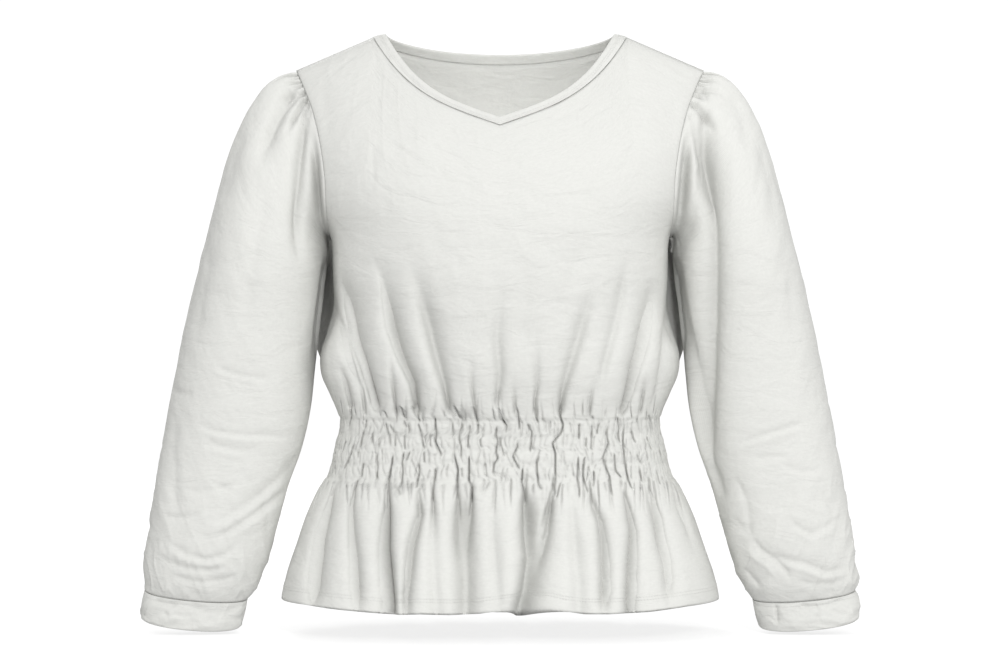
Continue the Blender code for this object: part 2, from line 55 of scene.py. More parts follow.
def smooth(rows, column, z):
    """The named column of a table as a smooth curve, read at these heights."""
    rows = sorted(rows, key=lambda row: row.z)
    heights = np.array([row.z for row in rows])
    values = np.array([getattr(row, column) for row in rows])
    slopes = np.gradient(values, heights)
    z = np.clip(z, heights[0], heights[-1])
    i = np.clip(np.searchsorted(heights, z) - 1, 0, len(rows) - 2)
    step = heights[i + 1] - heights[i]
    t = (z - heights[i]) / step
    rise = values[i] * (1 + 2 * t) * (1 - t) ** 2 + values[i + 1] * t * t * (3 - 2 * t)
    lean = step * t * (1 - t) * (slopes[i] * (1 - t) - slopes[i + 1] * t)
    return rise + lean


def ease(value, low, high):
    """0 below low, 1 above high and a soft step between."""
    t = np.clip((value - low) / (high - low), 0, 1)
    return t * t * (3 - 2 * t)


def bell(value, width):
    """1 where the value is 0, falling softly to nothing on both sides."""
    return np.exp(-((value / width) ** 2))


LATTICE = 64
LATTICE_START = 31.7


def ripple(u, v, size_u, size_v, seed):
    """Soft uneven swells of about these sizes, from -1 to 1, the same on every run."""
    lattice = np.random.default_rng(seed).uniform(-1, 1, (LATTICE, LATTICE))
    gu = u / size_u + LATTICE_START
    gv = v / size_v + LATTICE_START
    iu = np.floor(gu).astype(int)
    iv = np.floor(gv).astype(int)
    tu = ease(gu - iu, 0, 1)
    tv = ease(gv - iv, 0, 1)
    a, b, c, d = (lattice[(iu + i) % LATTICE, (iv + j) % LATTICE] for j in (0, 1) for i in (0, 1))
    return (a * (1 - tu) + b * tu) * (1 - tv) + (c * (1 - tu) + d * tu) * tv


def ridges(u, v, size_u, size_v, seed, sharpness=5):
    """Narrow uneven lines between such swells, from 0 to 1 on the lines."""
    return (1 - np.abs(ripple(u, v, size_u, size_v, seed))) ** sharpness


def unit(vectors):
    return vectors / np.maximum(np.linalg.norm(vectors, axis=-1, keepdims=True), 1e-12)


def lengths_along(points, axis):
    return np.linalg.norm(np.diff(points, axis=axis), axis=-1)


def lengths_round(points):
    """The steps from each column of a closed grid to the next."""
    return np.linalg.norm(np.roll(points, -1, axis=1) - points, axis=-1)


def from_start(steps):
    """Distance from the start of a line, from the lengths of its steps."""
    return np.concatenate([[0], np.cumsum(steps)])


def read_line(marks, along, line):
    """A line's points or normals, read at these marks along it."""
    return np.stack([np.interp(marks, along, line[:, i]) for i in range(line.shape[1])], axis=1)


# ================================================================ the garment's form
FACINGS = {"front": -1, "back": 1}
SIDES = {"right": -1, "left": 1}
NECK_HALF_WIDTH = 0.1188
NECK_V_DROP = 0.0933
NECK_V_SLOPE = 0.36
NECK_BACK_DROP = 0.0148
NECK_BACK_POWER = 0.75
NECK_CURVE_POWER = 3.7
BAND_DROP_AT_V = 0.0085
BAND_DROP_AT_BACK = 0.0097
BAND_HALF_WIDTH = 0.1323
BAND_RIDGE_Z = -0.0032
SHOULDER_TIP_X = 0.2125
SHOULDER_TIP_Z = -0.0378
RIDGE_RISE_AT_CENTRE = 0.018
UNDERARM_Z = -0.2146
ROOF_START_Z = -0.14
ROOF_POWER = {"front": 1.8, "back": 2.2}
SECTION_POWER = 2.4
HEM_Z = -0.586
SEAM_GAP = 0.0003

# Torso sections: half width at the side seam, how far front and back stand from the y = 0 plane, and how far
# the back's sides bulge out.
TORSO = table("z side front back lat", (
    (-0.5860, 0.2270, 0.148, 0.140, 0.000), (-0.5600, 0.2215, 0.142, 0.134, 0.000),
    (-0.5300, 0.2115, 0.131, 0.122, 0.000), (-0.5000, 0.2012, 0.117, 0.107, 0.000),
    (-0.4750, 0.1895, 0.106, 0.096, 0.000), (-0.4600, 0.1805, 0.101, 0.091, 0.000),
    (-0.4300, 0.1725, 0.098, 0.088, 0.000), (-0.4000, 0.1670, 0.099, 0.088, 0.000),
    (-0.3750, 0.1765, 0.108, 0.095, 0.000), (-0.3550, 0.1850, 0.115, 0.099, 0.014),
    (-0.3350, 0.1868, 0.119, 0.102, 0.034), (-0.3100, 0.1800, 0.122, 0.104, 0.052),
    (-0.2850, 0.1735, 0.126, 0.104, 0.060), (-0.2550, 0.1735, 0.129, 0.106, 0.060),
    (-0.2350, 0.1740, 0.129, 0.108, 0.056), (-0.2146, 0.1755, 0.129, 0.110, 0.046),
    (-0.1700, 0.1955, 0.123, 0.116, 0.000), (-0.1300, 0.2050, 0.111, 0.118, 0.000),
    (-0.0900, 0.2105, 0.094, 0.114, 0.000), (-0.0400, 0.2130, 0.075, 0.104, 0.000),
    (0.0200, 0.2130, 0.070, 0.094, 0.000),
))

# Where the front and the back end at the armhole, from the underarm up to the shoulder tip.
ARMHOLE = table("z front back", (
    (UNDERARM_Z, 0.1755, 0.1755), (-0.2000, 0.1772, 0.1805), (-0.1750, 0.1780, 0.1860),
    (-0.1560, 0.1785, 0.1885), (-0.1300, 0.1818, 0.1915), (-0.1040, 0.1870, 0.1955),
    (-0.0800, 0.1940, 0.2005), (-0.0594, 0.2025, 0.2065), (SHOULDER_TIP_Z, SHOULDER_TIP_X, SHOULDER_TIP_X),
))

# Rows of the front and back, as spans of height with a step, from the hem up to the underarm.
ROW_SPANS = table("low high step", (
    (HEM_Z, -0.482, 0.0027), (-0.482, -0.384, 0.00158), (-0.384, UNDERARM_Z, 0.0034),
))
UPPER_STEPS = 49
PANEL_COLUMNS = 560
RASTER_COLUMNS = 2240
NECK_SHARE = {"front": 11 / 18, "back": 9 / 14}
LEVEL_POINTS = 1441
BULGE_REACH = 0.060

# Shirring: rows of elastic, and how much wider the cloth is cut than the form it is drawn in to.
ELASTIC_TOP_Z = -0.400
ELASTIC_STEP = 0.015
ELASTIC_ROWS = 5
ELASTIC_LOW_Z = ELASTIC_TOP_Z - ELASTIC_STEP * (ELASTIC_ROWS - 1)
GATHER = table("z ratio", (
    (-0.5860, 1.07), (-0.5600, 1.09), (-0.5300, 1.12), (-0.5000, 1.18), (-0.4780, 1.30), (-0.4600, 1.38),
    (-0.4000, 1.38), (-0.3850, 1.30), (-0.3600, 1.15), (-0.3300, 1.07), (-0.3000, 1.03), (-0.2600, 1.01),
    (-0.2100, 1.00),
))


def ridge_z(x):
    """Height of the shoulder line, and of the form above the neck opening."""
    x = np.abs(x)
    slope = (SHOULDER_TIP_Z - BAND_RIDGE_Z) / (SHOULDER_TIP_X - BAND_HALF_WIDTH)
    outer = BAND_RIDGE_Z + slope * (x - BAND_HALF_WIDTH)
    inner = RIDGE_RISE_AT_CENTRE * (1 - (x / NECK_HALF_WIDTH) ** 2)
    near_neck = BAND_RIDGE_Z * (x - NECK_HALF_WIDTH) / (BAND_HALF_WIDTH - NECK_HALF_WIDTH)
    return np.where(x > BAND_HALF_WIDTH, outer, np.where(x > NECK_HALF_WIDTH, near_neck, inner))


def neck_line_z(x, facing, half_width, top, v_drop, back_drop):
    """Height of a line round the neck that ends at this half width and height on each shoulder."""
    share = np.abs(x) / half_width
    if facing == "back":
        return top - (back_drop + top) * np.maximum(1 - share**2, 0) ** NECK_BACK_POWER
    straight = NECK_V_SLOPE * half_width
    return -v_drop + straight * share + (top + v_drop - straight) * share**NECK_CURVE_POWER


def neck_edge_z(x, facing):
    """Height of the open edge of the neckband."""
    return neck_line_z(x, facing, NECK_HALF_WIDTH, 0.0, NECK_V_DROP, NECK_BACK_DROP)


def neck_seam_z(x, facing):
    """Height of the seam between the neckband and a panel."""
    v_drop = NECK_V_DROP + BAND_DROP_AT_V
    back_drop = NECK_BACK_DROP + BAND_DROP_AT_BACK
    return neck_line_z(x, facing, BAND_HALF_WIDTH, BAND_RIDGE_Z, v_drop, back_drop)


def torso_depth(x, z, facing):
    """Distance of the plain torso form from the y = 0 plane."""
    across = 1 - np.minimum(np.abs(x) / smooth(TORSO, "side", z), 1) ** SECTION_POWER
    rise = np.clip((z - ROOF_START_Z) / (ridge_z(x) - ROOF_START_Z), 0, 1)
    power = ROOF_POWER[facing]
    roof = (1 - rise**power) ** (1 / power)
    return smooth(TORSO, facing, z) * across ** (1 / SECTION_POWER) * roof


# ================================================================ creases placed one by one
# A crease pulls the cloth in by its depth, or out where that is negative, and is so wide to its left and to
# its right. Its path is the x and z of each point in turn, seen from the side that it is on. Millimetres.
MM = 0.001
Crease = namedtuple("Crease", "depth left right path")


def creases(*rows):
    """Creases from rows of depth, widths and path."""
    return [Crease(*row[:3], np.reshape(row[3:], (-1, 2))) for row in rows]


# Bodice folds run down into the shirring, and the peplum's folds start there. The front's edge at each side
# is a fold too, with the cloth behind it falling away.
FRONT_BODICE = creases(
    (20.0, 6, 12, -166, -240, -158, -279, -153, -309, -142, -339, -134, -364, -124, -396),
    (15.0, 4, 12, -122, -235, -115, -279, -109, -309, -99, -339, -88, -364, -83, -402),
    (11.5, 7, 10, -90, -235, -78, -279, -70, -309, -63, -339, -56, -364, -49, -400),
    (9.0, 9, 8, 96, -250, 88, -285, 78, -320, 69, -350, 63, -374, 60, -402),
    (16.0, 9, 8, 158, -245, 152, -290, 143, -325, 135, -350, 131, -372, 122, -402),
)
FRONT_BODICE_SHORT = creases(
    (6.0, 4, 5, -112, -320, -110, -350, -108, -365, -104, -400),
    (5.0, 4, 5, -30, -325, -29, -355, -28, -370, -23, -400),
    (6.5, 7, 8, 2, -240, -3, -319, 0, -353, -4, -390),
    (5.0, 4, 5, 36, -300, 36, -325, 37, -365, 35, -383, 38, -402),
    (9.0, 5, 6, -168, -335, -158, -364, -152, -390),
    (6.4, 4, 4, -142, -355, -140, -375, -137, -396),
    (3.6, 4, 4, 12, -352, 14, -375, 16, -400),
    (5.5, 4, 4, 96, -352, 92, -378, 90, -402),
    (6.0, 4, 4, 152, -345, 146, -372, 143, -398),
)
FRONT_SIDES = creases(
    (9.0, 10, 3, -173, -266, -170, -288, -163, -308, -156, -330, -149, -350, -134, -392),
    (9.0, 3, 10, 176, -266, 175, -288, 170, -310, 166, -338, 161, -368, 151, -396),
)
FRONT_SOFT = creases(
    (4.0, 14, 12, 86, -205, 76, -245, 66, -280, 60, -320),
    (9.0, 7, 7, 130, -225, 122, -279, 115, -309, 105, -345, 98, -390),
    (2.0, 6, 6, -131, -232, -123, -250, -116, -268),
    (2.5, 10, 10, 22, -225, 26, -270, 24, -310, 28, -350),
    (3.0, 9, 9, -184, -55, -182, -80, -178, -105, -176, -130),
    (3.0, 9, 9, 185, -60, 181, -90, 175, -115, 172, -130),
    (0.9, 3, 4, -129, -122, -127, -148, -129, -176),
    (0.8, 4, 4, -60, -118, -48, -132, -30, -150),
    (0.7, 4, 4, 20, -170, 42, -182, 66, -190),
    (0.7, 3, 4, -24, -200, 4, -206, 30, -203),
    (0.7, 4, 4, 18, -216, 40, -224, 60, -222),
)
FRONT_PEPLUM = creases(
    (11.7, 6, 9, -163, -452, -174, -479, -185, -516, -188, -545, -191, -600),
    (8.1, 6, 7, -143, -452, -151, -487, -150, -508, -146, -540, -142, -600),
    (13.5, 9, 4, -112, -450, -112, -493, -113, -522, -108, -574, -107, -640),
    (8.8, 7, 6, -84, -452, -80, -493, -88, -522, -93, -566, -95, -610),
    (18.0, 5, 22, 24, -450, 24, -478, 25, -512, 28, -534, 24, -568, 14, -602, 4, -650),
    (8.0, 6, 7, 91, -456, 93, -480, 101, -500, 104, -520, 105, -545, 104, -600),
    (8.8, 6, 6, 122, -456, 129, -485, 134, -509, 132, -539, 130, -569, 128, -640),
    (6.8, 6, 7, 145, -455, 152, -479, 160, -509, 168, -539, 172, -590),
)
FRONT_PEPLUM_SHORT = creases(
    (4.4, 4, 4, -125, -456, -124, -468, -121, -495),
    (5.9, 4, 5, -67, -454, -67, -486, -66, -525),
    (10.3, 5, 6, -42, -450, -42, -483, -42, -515, -39, -550),
    (10.3, 5, 5, -28, -448, -28, -478, -31, -508, -34, -535),
    (4.4, 4, 4, -6, -458, -6, -475, -6, -500),
    (3.5, 4, 4, 42, -458, 42, -490),
    (10.8, 6, 6, 55, -452, 52, -479, 48, -509, 41, -535, 33, -565),
    (3.5, 3, 3, 52, -470, 44, -500, 36, -524),
    (4.4, 4, 4, 111, -458, 112, -478, 116, -500),
    (7.9, 5, 5, 151, -455, 158, -486, 162, -500, 165, -545),
    (8.8, 5, 6, 174, -450, 184, -486, 193, -510, 201, -545),
)
FRONT_PEPLUM_SOFT = creases(
    (19.0, 13, 11, -37, -440, -36, -475, -35, -510, -34, -550, -34, -590, -34, -650),
    (8.0, 10, 10, 70, -450, 74, -500, 78, -550, 80, -600, 82, -650),
    (7.0, 9, 9, -66, -450, -68, -500, -66, -550, -62, -600, -60, -650),
    (6.0, 9, 9, -10, -450, -8, -500, -4, -550, 0, -600, 2, -650),
)
BACK_BODICE = creases(
    (8.8, 7, 8, -160, -255, -145, -305, -132, -350, -121, -402),
    (6.5, 7, 7, -106, -235, -92, -290, -80, -345, -72, -402),
    (3.8, 4, 5, -58, -330, -52, -365, -46, -402),
    (6.2, 8, 7, -31, -270, -27, -325, -22, -365, -20, -402),
    (3.5, 5, 4, 10, -345, 8, -375, 9, -402),
    (6.8, 8, 8, 45, -240, 42, -300, 37, -350, 33, -402),
    (4.0, 5, 5, 64, -335, 60, -370, 57, -402),
    (7.6, 8, 7, 110, -258, 98, -320, 88, -365, 83, -402),
    (8.6, 8, 7, 162, -240, 147, -295, 136, -345, 128, -402),
)
BACK_SOFT = creases(
    (1.2, 12, 12, -30, -60, -8, -120, -14, -190),
    (1.1, 12, 12, 36, -70, 24, -140, 30, -205),
)
BACK_PEPLUM = creases(
    (9.8, 7, 8, -168, -450, -178, -490, -187, -530, -196, -620),
    (8.8, 7, 6, -126, -452, -131, -500, -136, -550, -137, -620),
    (14.3, 8, 5, -84, -450, -87, -500, -90, -550, -94, -630),
    (5.7, 5, 5, -58, -452, -60, -490, -64, -530),
    (9.4, 7, 7, -30, -452, -33, -500, -34, -545, -29, -620),
    (13.7, 5, 8, 16, -450, 18, -500, 21, -550, 24, -630),
    (5.2, 4, 5, 42, -454, 44, -490, 42, -525),
    (8.3, 7, 7, 64, -452, 68, -500, 70, -545, 70, -620),
    (12.5, 5, 8, 103, -450, 109, -500, 115, -550, 120, -630),
    (6.0, 5, 6, 130, -454, 137, -490, 143, -535),
    (9.1, 7, 7, 157, -452, 168, -500, 177, -545, 184, -620),
)
# How much of a crease's length it takes to deepen and to fade out, and how much of it is broad and soft.
# Swell says how much deeper it gets away from the shirring.
Habit = namedtuple("Habit", "deepen fade broad swell")
BODICE = Habit(0.45, 0.08, 0.16, 0.3)
RISING_SHORT = Habit(0.80, 0.06, 0.12, 0.4)
PEPLUM = Habit(0.06, 0.25, 0.25, 1.2)
FALLING_SHORT = Habit(0.06, 0.70, 0.15, 0.9)
FALLING_SOFT = Habit(0.40, 0.05, 0.30, 0.4)
SOFT = Habit(0.35, 0.35, 0.30, 0.0)
GATHERED = Habit(0.12, 0.12, 0.24, 0.0)
RISING = Habit(0.75, 0.08, 0.0, 0.0)
FALLING = Habit(0.08, 0.75, 0.0, 0.0)
WRINKLE = Habit(0.22, 0.28, 0.10, 0.0)
TUCKED = Habit(0.03, 0.55, 0.05, 0.0)
TROUGH = Habit(0.42, 0.28, 0.10, 0.0)
PLEAT = Habit(0.12, 0.35, 0.06, 0.0)
PANEL_CREASES = {
    "front": (
        (FRONT_BODICE, BODICE), (FRONT_BODICE_SHORT, RISING_SHORT), (FRONT_SIDES, SOFT), (FRONT_SOFT, SOFT),
        (FRONT_PEPLUM, PEPLUM), (FRONT_PEPLUM_SHORT, FALLING_SHORT), (FRONT_PEPLUM_SOFT, FALLING_SOFT),
    ),
    "back": ((BACK_BODICE, RISING_SHORT), (BACK_SOFT, SOFT), (BACK_PEPLUM, PEPLUM)),
}
NARROW_REACH = 4.5
BROAD_REACH = 9.0
BROAD_WIDTH = 3.0
SPREAD_AT_WAIST = 0.30
SPREAD_AWAY = 0.66
CREASE_CORE = 0.58
LIP_PLACE = 2.2
FAR = 1e9
TINY = 1e-9


def press(lines, habit, x, z, lip=0.0, away=None):
    """How far creases pull the cloth in at points seen at (x, z). A lip is a raised edge beside each.
    Away is how free the cloth is of the shirring, from 0 to 1: creases widen and swell there."""
    total = np.zeros_like(x)
    for crease in lines:
        path = np.array(crease.path, float) * MM
        reach = (BROAD_REACH if habit.broad else NARROW_REACH) * max(crease.left, crease.right) * MM
        low = path.min(axis=0) - reach
        high = path.max(axis=0) + reach
        near = (x > low[0]) & (x < high[0]) & (z > low[1]) & (z < high[1])
        px = x[near]
        pz = z[near]
        steps = np.diff(path, axis=0)
        lengths = np.hypot(steps[:, 0], steps[:, 1])
        starts = from_start(lengths)
        nearest = np.full(px.shape, FAR)
        share = np.zeros_like(px)
        side = np.zeros_like(px)
        for start, step, length, done in zip(path[:-1], steps, lengths, starts[:-1]):
            dx = px - start[0]
            dz = pz - start[1]
            along = np.clip((dx * step[0] + dz * step[1]) / length**2, 0, 1)
            off = np.hypot(dx - along * step[0], dz - along * step[1])
            closer = off < nearest
            nearest = np.where(closer, off, nearest)
            share = np.where(closer, (done + along * length) / starts[-1], share)
            side = np.where(closer, step[0] * dz - step[1] * dx, side)
        ends = ease(share, 0, habit.deepen) * (1 - ease(share, 1 - habit.fade, 1))
        right = side * np.sign(-steps[:, 1].sum() + TINY) > 0
        width = np.where(right, crease.right, crease.left) * MM
        if away is not None:
            width = width * (SPREAD_AT_WAIST + SPREAD_AWAY * away[near])
            ends = ends * (1 + habit.swell * away[near])
        shape = np.exp(1 - np.sqrt(1 + (nearest / width / CREASE_CORE) ** 2))
        shape = shape * (1 - habit.broad) + habit.broad * bell(nearest / width, BROAD_WIDTH)
        if lip:
            shape = shape - lip * right * bell(nearest / width - LIP_PLACE, 1.0)
        total[near] += crease.depth * MM * ends * shape
    return total


# ================================================================ grids of cloth
def facing_out(points, closed, outward):
    """Unit normals of a grid, all on the side that the outward vectors mostly point to."""
    if closed:
        across = np.roll(points, -1, axis=1) - np.roll(points, 1, axis=1)
    else:
        across = np.gradient(points, axis=1)
    normals = unit(np.cross(across, np.gradient(points, axis=0)))
    return normals * np.sign((normals * outward).sum())


def row_heights():
    heights = []
    for span in ROW_SPANS:
        count = round((span.high - span.low) / span.step)
        heights += list(np.linspace(span.low, span.high, count, endpoint=False))
    return np.array(heights + [UNDERARM_Z])


def level_row(facing, z, lat):
    """Evenly spaced points along the plain form at this height. The back's sides bulge out by lat."""
    turns = np.linspace(-math.pi / 2, math.pi / 2, LEVEL_POINTS)
    x = smooth(TORSO, "side", z) * np.sign(turns) * np.abs(np.sin(turns)) ** (2 / SECTION_POWER)
    y = smooth(TORSO, facing, z) * np.abs(np.cos(turns)) ** (2 / SECTION_POWER)
    x = x + np.sign(turns) * lat * np.sin(2 * np.abs(turns)) ** 2
    line = np.stack([x, FACINGS[facing] * y, np.full_like(x, z)], axis=1)
    along = from_start(lengths_along(line, 0))
    return read_line(np.linspace(0, along[-1], RASTER_COLUMNS + 1), along, line)


def panel_form(facing):
    """The plain outer form of the front or back as a fine grid, its rows from the hem up to the shoulders
    and its columns from -X to +X."""
    sign = FACINGS[facing]
    share = np.linspace(-1, 1, RASTER_COLUMNS + 1)
    bulging = 1.0 if facing == "back" else 0.0
    rows = [level_row(facing, z, bulging * smooth(TORSO, "lat", z)) for z in row_heights()]

    neck = NECK_SHARE[facing]
    over_neck = BAND_HALF_WIDTH * np.abs(share) / neck
    over_shoulder = BAND_HALF_WIDTH + (SHOULDER_TIP_X - BAND_HALF_WIDTH) * (np.abs(share) - neck) / (1 - neck)
    inside_neck = np.abs(share) <= neck
    top_x = np.sign(share) * np.where(inside_neck, over_neck, over_shoulder)
    top_z = np.where(inside_neck, neck_seam_z(top_x, facing), ridge_z(top_x))
    low = level_row(facing, UNDERARM_Z, 0.0)
    bulge = rows[-1] - low
    lift = np.abs(low[:, 1]) - torso_depth(low[:, 0], low[:, 2], facing)
    for climb in np.linspace(0, 1, UPPER_STEPS + 1)[1:]:
        z = UNDERARM_Z + (top_z - UNDERARM_Z) * climb
        x = low[:, 0] + (top_x - low[:, 0]) * climb
        edge = smooth(ARMHOLE, facing, z[-1])
        x = x + (edge - x[-1]) * np.sign(share) * np.abs(share) ** 3
        y = torso_depth(x, z, facing) + lift * (1 - climb) * (1 - share**4)
        left = 1 - ease(z - UNDERARM_Z, 0.0, BULGE_REACH)
        rows.append(np.stack([x, sign * y, z], axis=1) + bulge * left[:, None])
    return np.array(rows)


# ================================================================ the shirred waist
WAIST_SET_BACK = 0.0008
PUFF = 0.0008
PINCH = 0.0005
PINCH_WIDTH = 0.0010
PINCH_SIZE = (0.007, 0.010)
FACET = 0.0012
FACET_SIZE = (0.0065, 0.0080)
ROW_WAVE = 0.0009
# Along a row of elastic, and in rows.
ROW_WAVE_SIZE = (0.018, 1.0)
# Crevices where the gathered cloth tucks in, as depth and path.
CREVICES = (
    (2.2, -152, -388, -152, -397, -155, -405, -155, -411),
    (3.6, -139, -411, -141, -420, -142, -428),
    (2.2, -136, -400, -137, -409),
    (2.8, -130, -413, -130, -424),
    (2.4, -123, -417, -123, -427),
    (3.4, -150, -425, -152, -433, -155, -441, -161, -452),
    (2.2, -163, -435, -160, -426, -158, -422),
    (2.2, -145, -431, -145, -439),
    (3.2, -139, -444, -140, -450, -141, -458),
    (3.8, -145, -460, -148, -470, -150, -484),
    (2.6, -124, -432, -125, -440, -124, -447, -125, -460),
    (4.0, -108, -433, -109, -441, -111, -453, -113, -461, -113, -484),
    (3.2, -97, -431, -99, -444, -98, -451, -99, -462, -101, -470),
    (2.4, -104, -466, -100, -475),
    (3.0, -91, -432, -95, -441),
    (1.6, -90, -439, -85, -450, -81, -457),
    (3.4, -82, -444, -81, -453, -83, -460, -84, -468),
    (3.0, -77, -431, -76, -443),
    (3.0, -83, -402, -80, -411, -78, -421, -76, -430),
    (3.4, -89, -386, -83, -397, -80, -402),
    (3.4, -100, -386, -96, -398),
    (2.8, -97, -401, -94, -408),
    (3.0, -93, -404, -91, -413),
    (2.4, -117, -391, -114, -398),
    (2.6, -116, -402, -115, -408, -112, -417, -111, -425),
    (2.6, -112, -404, -110, -408, -105, -414),
    (2.2, -106, -413, -106, -427),
    (2.6, -97, -414, -96, -430),
    (3.6, -65, -395, -65, -405, -64, -413, -65, -421, -61, -430, -58, -437),
    (2.4, -71, -413, -70, -427),
    (2.4, -76, -415, -75, -424),
    (2.6, -48, -402, -47, -413, -46, -415),
    (2.8, -39, -400, -38, -406, -41, -414, -41, -419, -39, -426, -39, -439),
    (4.0, -47, -431, -44, -442, -42, -450, -43, -460, -43, -480),
    (3.4, -32, -413, -32, -428),
    (4.2, -31, -434, -31, -447, -31, -460, -28, -466, -28, -482),
    (3.0, -22, -403, -22, -414),
    (2.8, -30, -405, -31, -414),
    (2.8, -20, -418, -19, -427),
    (3.2, -46, -385, -40, -398),
    (3.4, -27, -386, -22, -402),
    (2.6, -1, -387, 3, -399, 6, -404),
    (3.6, -3, -404, -4, -415, -2, -420, -4, -432, -2, -438, -6, -444, -7, -456),
    (2.4, 0, -415, 0, -421, 3, -431, 5, -437),
    (2.2, -39, -447, -38, -457),
    (3.4, -65, -447, -65, -456, -67, -467, -68, -482),
    (2.0, -15, -442, -13, -457),
    (3.2, 2, -398, 7, -405, 6, -412),
    (3.4, 17, -386, 19, -396, 20, -410),
    (3.4, 27, -402, 32, -411, 32, -421, 30, -432),
    (2.6, 34, -386, 37, -398, 39, -403),
    (3.8, 61, -384, 61, -396, 64, -405, 62, -412, 53, -423, 56, -433, 56, -447, 56, -462),
    (3.2, 17, -421, 18, -426, 13, -436, 17, -444, 21, -450),
    (3.4, 40, -435, 37, -443, 38, -455, 39, -464, 43, -470),
    (3.8, 23, -447, 22, -462, 25, -472, 26, -482),
    (3.0, 53, -461, 56, -474),
    (3.0, 61, -462, 57, -478),
    (2.2, 51, -401, 51, -407),
    (3.2, 80, -403, 80, -412, 80, -419),
    (2.8, 87, -417, 87, -426),
    (2.6, 93, -403, 93, -413, 92, -431),
    (3.2, 100, -403, 98, -414),
    (3.4, 110, -405, 108, -414, 110, -424, 104, -438, 106, -444, 111, -457, 112, -467, 114, -479),
    (3.4, 79, -435, 79, -447, 78, -458, 80, -469, 80, -479),
    (3.4, 86, -435, 84, -448, 84, -457, 87, -467, 90, -474),
    (2.8, 95, -451, 95, -462, 94, -467),
    (3.2, 116, -433, 117, -449, 118, -452, 124, -459),
    (3.4, 119, -396, 121, -408, 120, -415, 122, -424),
    (3.6, 126, -406, 125, -421, 126, -433, 128, -449, 130, -460, 135, -472),
    (3.2, 134, -411, 136, -419, 138, -423),
    (2.6, 152, -395, 156, -404, 158, -414),
    (2.2, 150, -417, 156, -432),
    (2.4, 164, -425, 166, -437, 170, -449),
    (2.2, 139, -434, 142, -442, 147, -446),
    (2.2, 142, -451, 145, -463),
    (3.0, 152, -467, 156, -478),
    (2.4, 160, -451, 164, -466),
    (2.2, 94, -395, 94, -400),
)
CREVICE_HALF_WIDTH = 0.62
DEEPER = 1.35
LIP = 0.12
SMALL_LIP = 0.25
# Small gathers above the shirring, in it and below it: how far their upper ends lie above a row of elastic
# and their lower ends above the next row, in millimetres, then how much deeper, wider and further apart
# they are than those in it.
ZONES = table("high low deeper wider apart habit", (
    ((0, 26), (-3, 4), 1.1, 1.0, 1.3, RISING),
    ((-4, 3), (-3, 4), 1.0, 1.0, 1.0, GATHERED),
    ((-4, 3), (-34, 0), 1.5, 1.3, 1.3, FALLING),
))
SMALL_DEPTHS = (0.6, 2.1)
SMALL_WIDTHS = (0.5, 0.95)
SMALL_SLANT = 1.6
SMALL_KINK = 0.8
SMALL_GAPS = (3.6, 5.0, 6.5, 8.5)
FIRST_GAPS = (2, 8)


def small_gathers(half, seed):
    """Short shallow crevices between the main ones, by (distance along the row, z) in millimetres: a list of
    them for each zone, with its habit."""
    random = np.random.default_rng(seed)
    lists = ([], [], [])
    for row in range(ELASTIC_ROWS + 1):
        top = (ELASTIC_TOP_Z - ELASTIC_STEP * (row - 1)) / MM
        bottom = top - ELASTIC_STEP / MM
        place = 0 if row == 0 else 2 if row == ELASTIC_ROWS else 1
        zone = ZONES[place]
        u = -half / MM + random.uniform(*FIRST_GAPS)
        while u < half / MM:
            slant = random.normal(0, SMALL_SLANT)
            high = top + random.uniform(*zone.high)
            low = bottom + random.uniform(*zone.low)
            kink = random.normal(0, SMALL_KINK)
            depth = random.uniform(*SMALL_DEPTHS) * zone.deeper
            path = ((u + slant, high), (u + kink, (high + low) / 2), (u - slant, low))
            width = random.uniform(*SMALL_WIDTHS) * zone.wider
            lists[place].append(Crease(depth, width, width, path))
            u += random.choice(SMALL_GAPS) * random.uniform(0.8, 1.2) * zone.apart
    return zip(lists, (zone.habit for zone in ZONES))


def in_waist(z, below, above):
    """1 in the shirring, easing to 0 within these distances below and above it."""
    rising = ease(z, ELASTIC_LOW_Z - below, ELASTIC_LOW_Z)
    return rising * (1 - ease(z, ELASTIC_TOP_Z, ELASTIC_TOP_Z + above))


def shirring(x, arc, z, mirror, seed):
    """How far the gathered waist is pulled in."""
    widths = (CREVICE_HALF_WIDTH, CREVICE_HALF_WIDTH)
    narrow = creases(*((depth * DEEPER, *widths, *path) for depth, *path in CREVICES))
    inward = press(narrow, GATHERED, mirror * x, z, LIP)
    for gathers, habit in small_gathers(arc.max(), seed):
        inward += press(gathers, habit, arc, z, SMALL_LIP)
    waist = in_waist(z, 0.004, 0.004)
    wave = ROW_WAVE * ripple(arc, np.round(z / ELASTIC_STEP), *ROW_WAVE_SIZE, seed + 1)
    # 0 on a row of elastic and 1 midway between two rows.
    rows = np.abs(((ELASTIC_TOP_Z - z - wave) / ELASTIC_STEP + 0.5) % 1 - 0.5) * 2
    uneven = 0.65 + 0.35 * ripple(arc, z, *PINCH_SIZE, seed + 2)
    inward += waist * PINCH * uneven * bell(rows * ELASTIC_STEP / 2, PINCH_WIDTH)
    inward += waist * (WAIST_SET_BACK - PUFF * rows**0.7 * (0.7 + 0.3 * uneven))
    inward += waist * FACET * ridges(arc + 0.4 * z, z, *FACET_SIZE, seed + 3, 4)
    return inward


# ================================================================ the front and the back
HEM_DEPTH = 0.0165
HEM_RAISE = 0.0004
HEM_EDGE_ROLL = 0.0005
HEM_EDGE_WIDTH = 0.0012
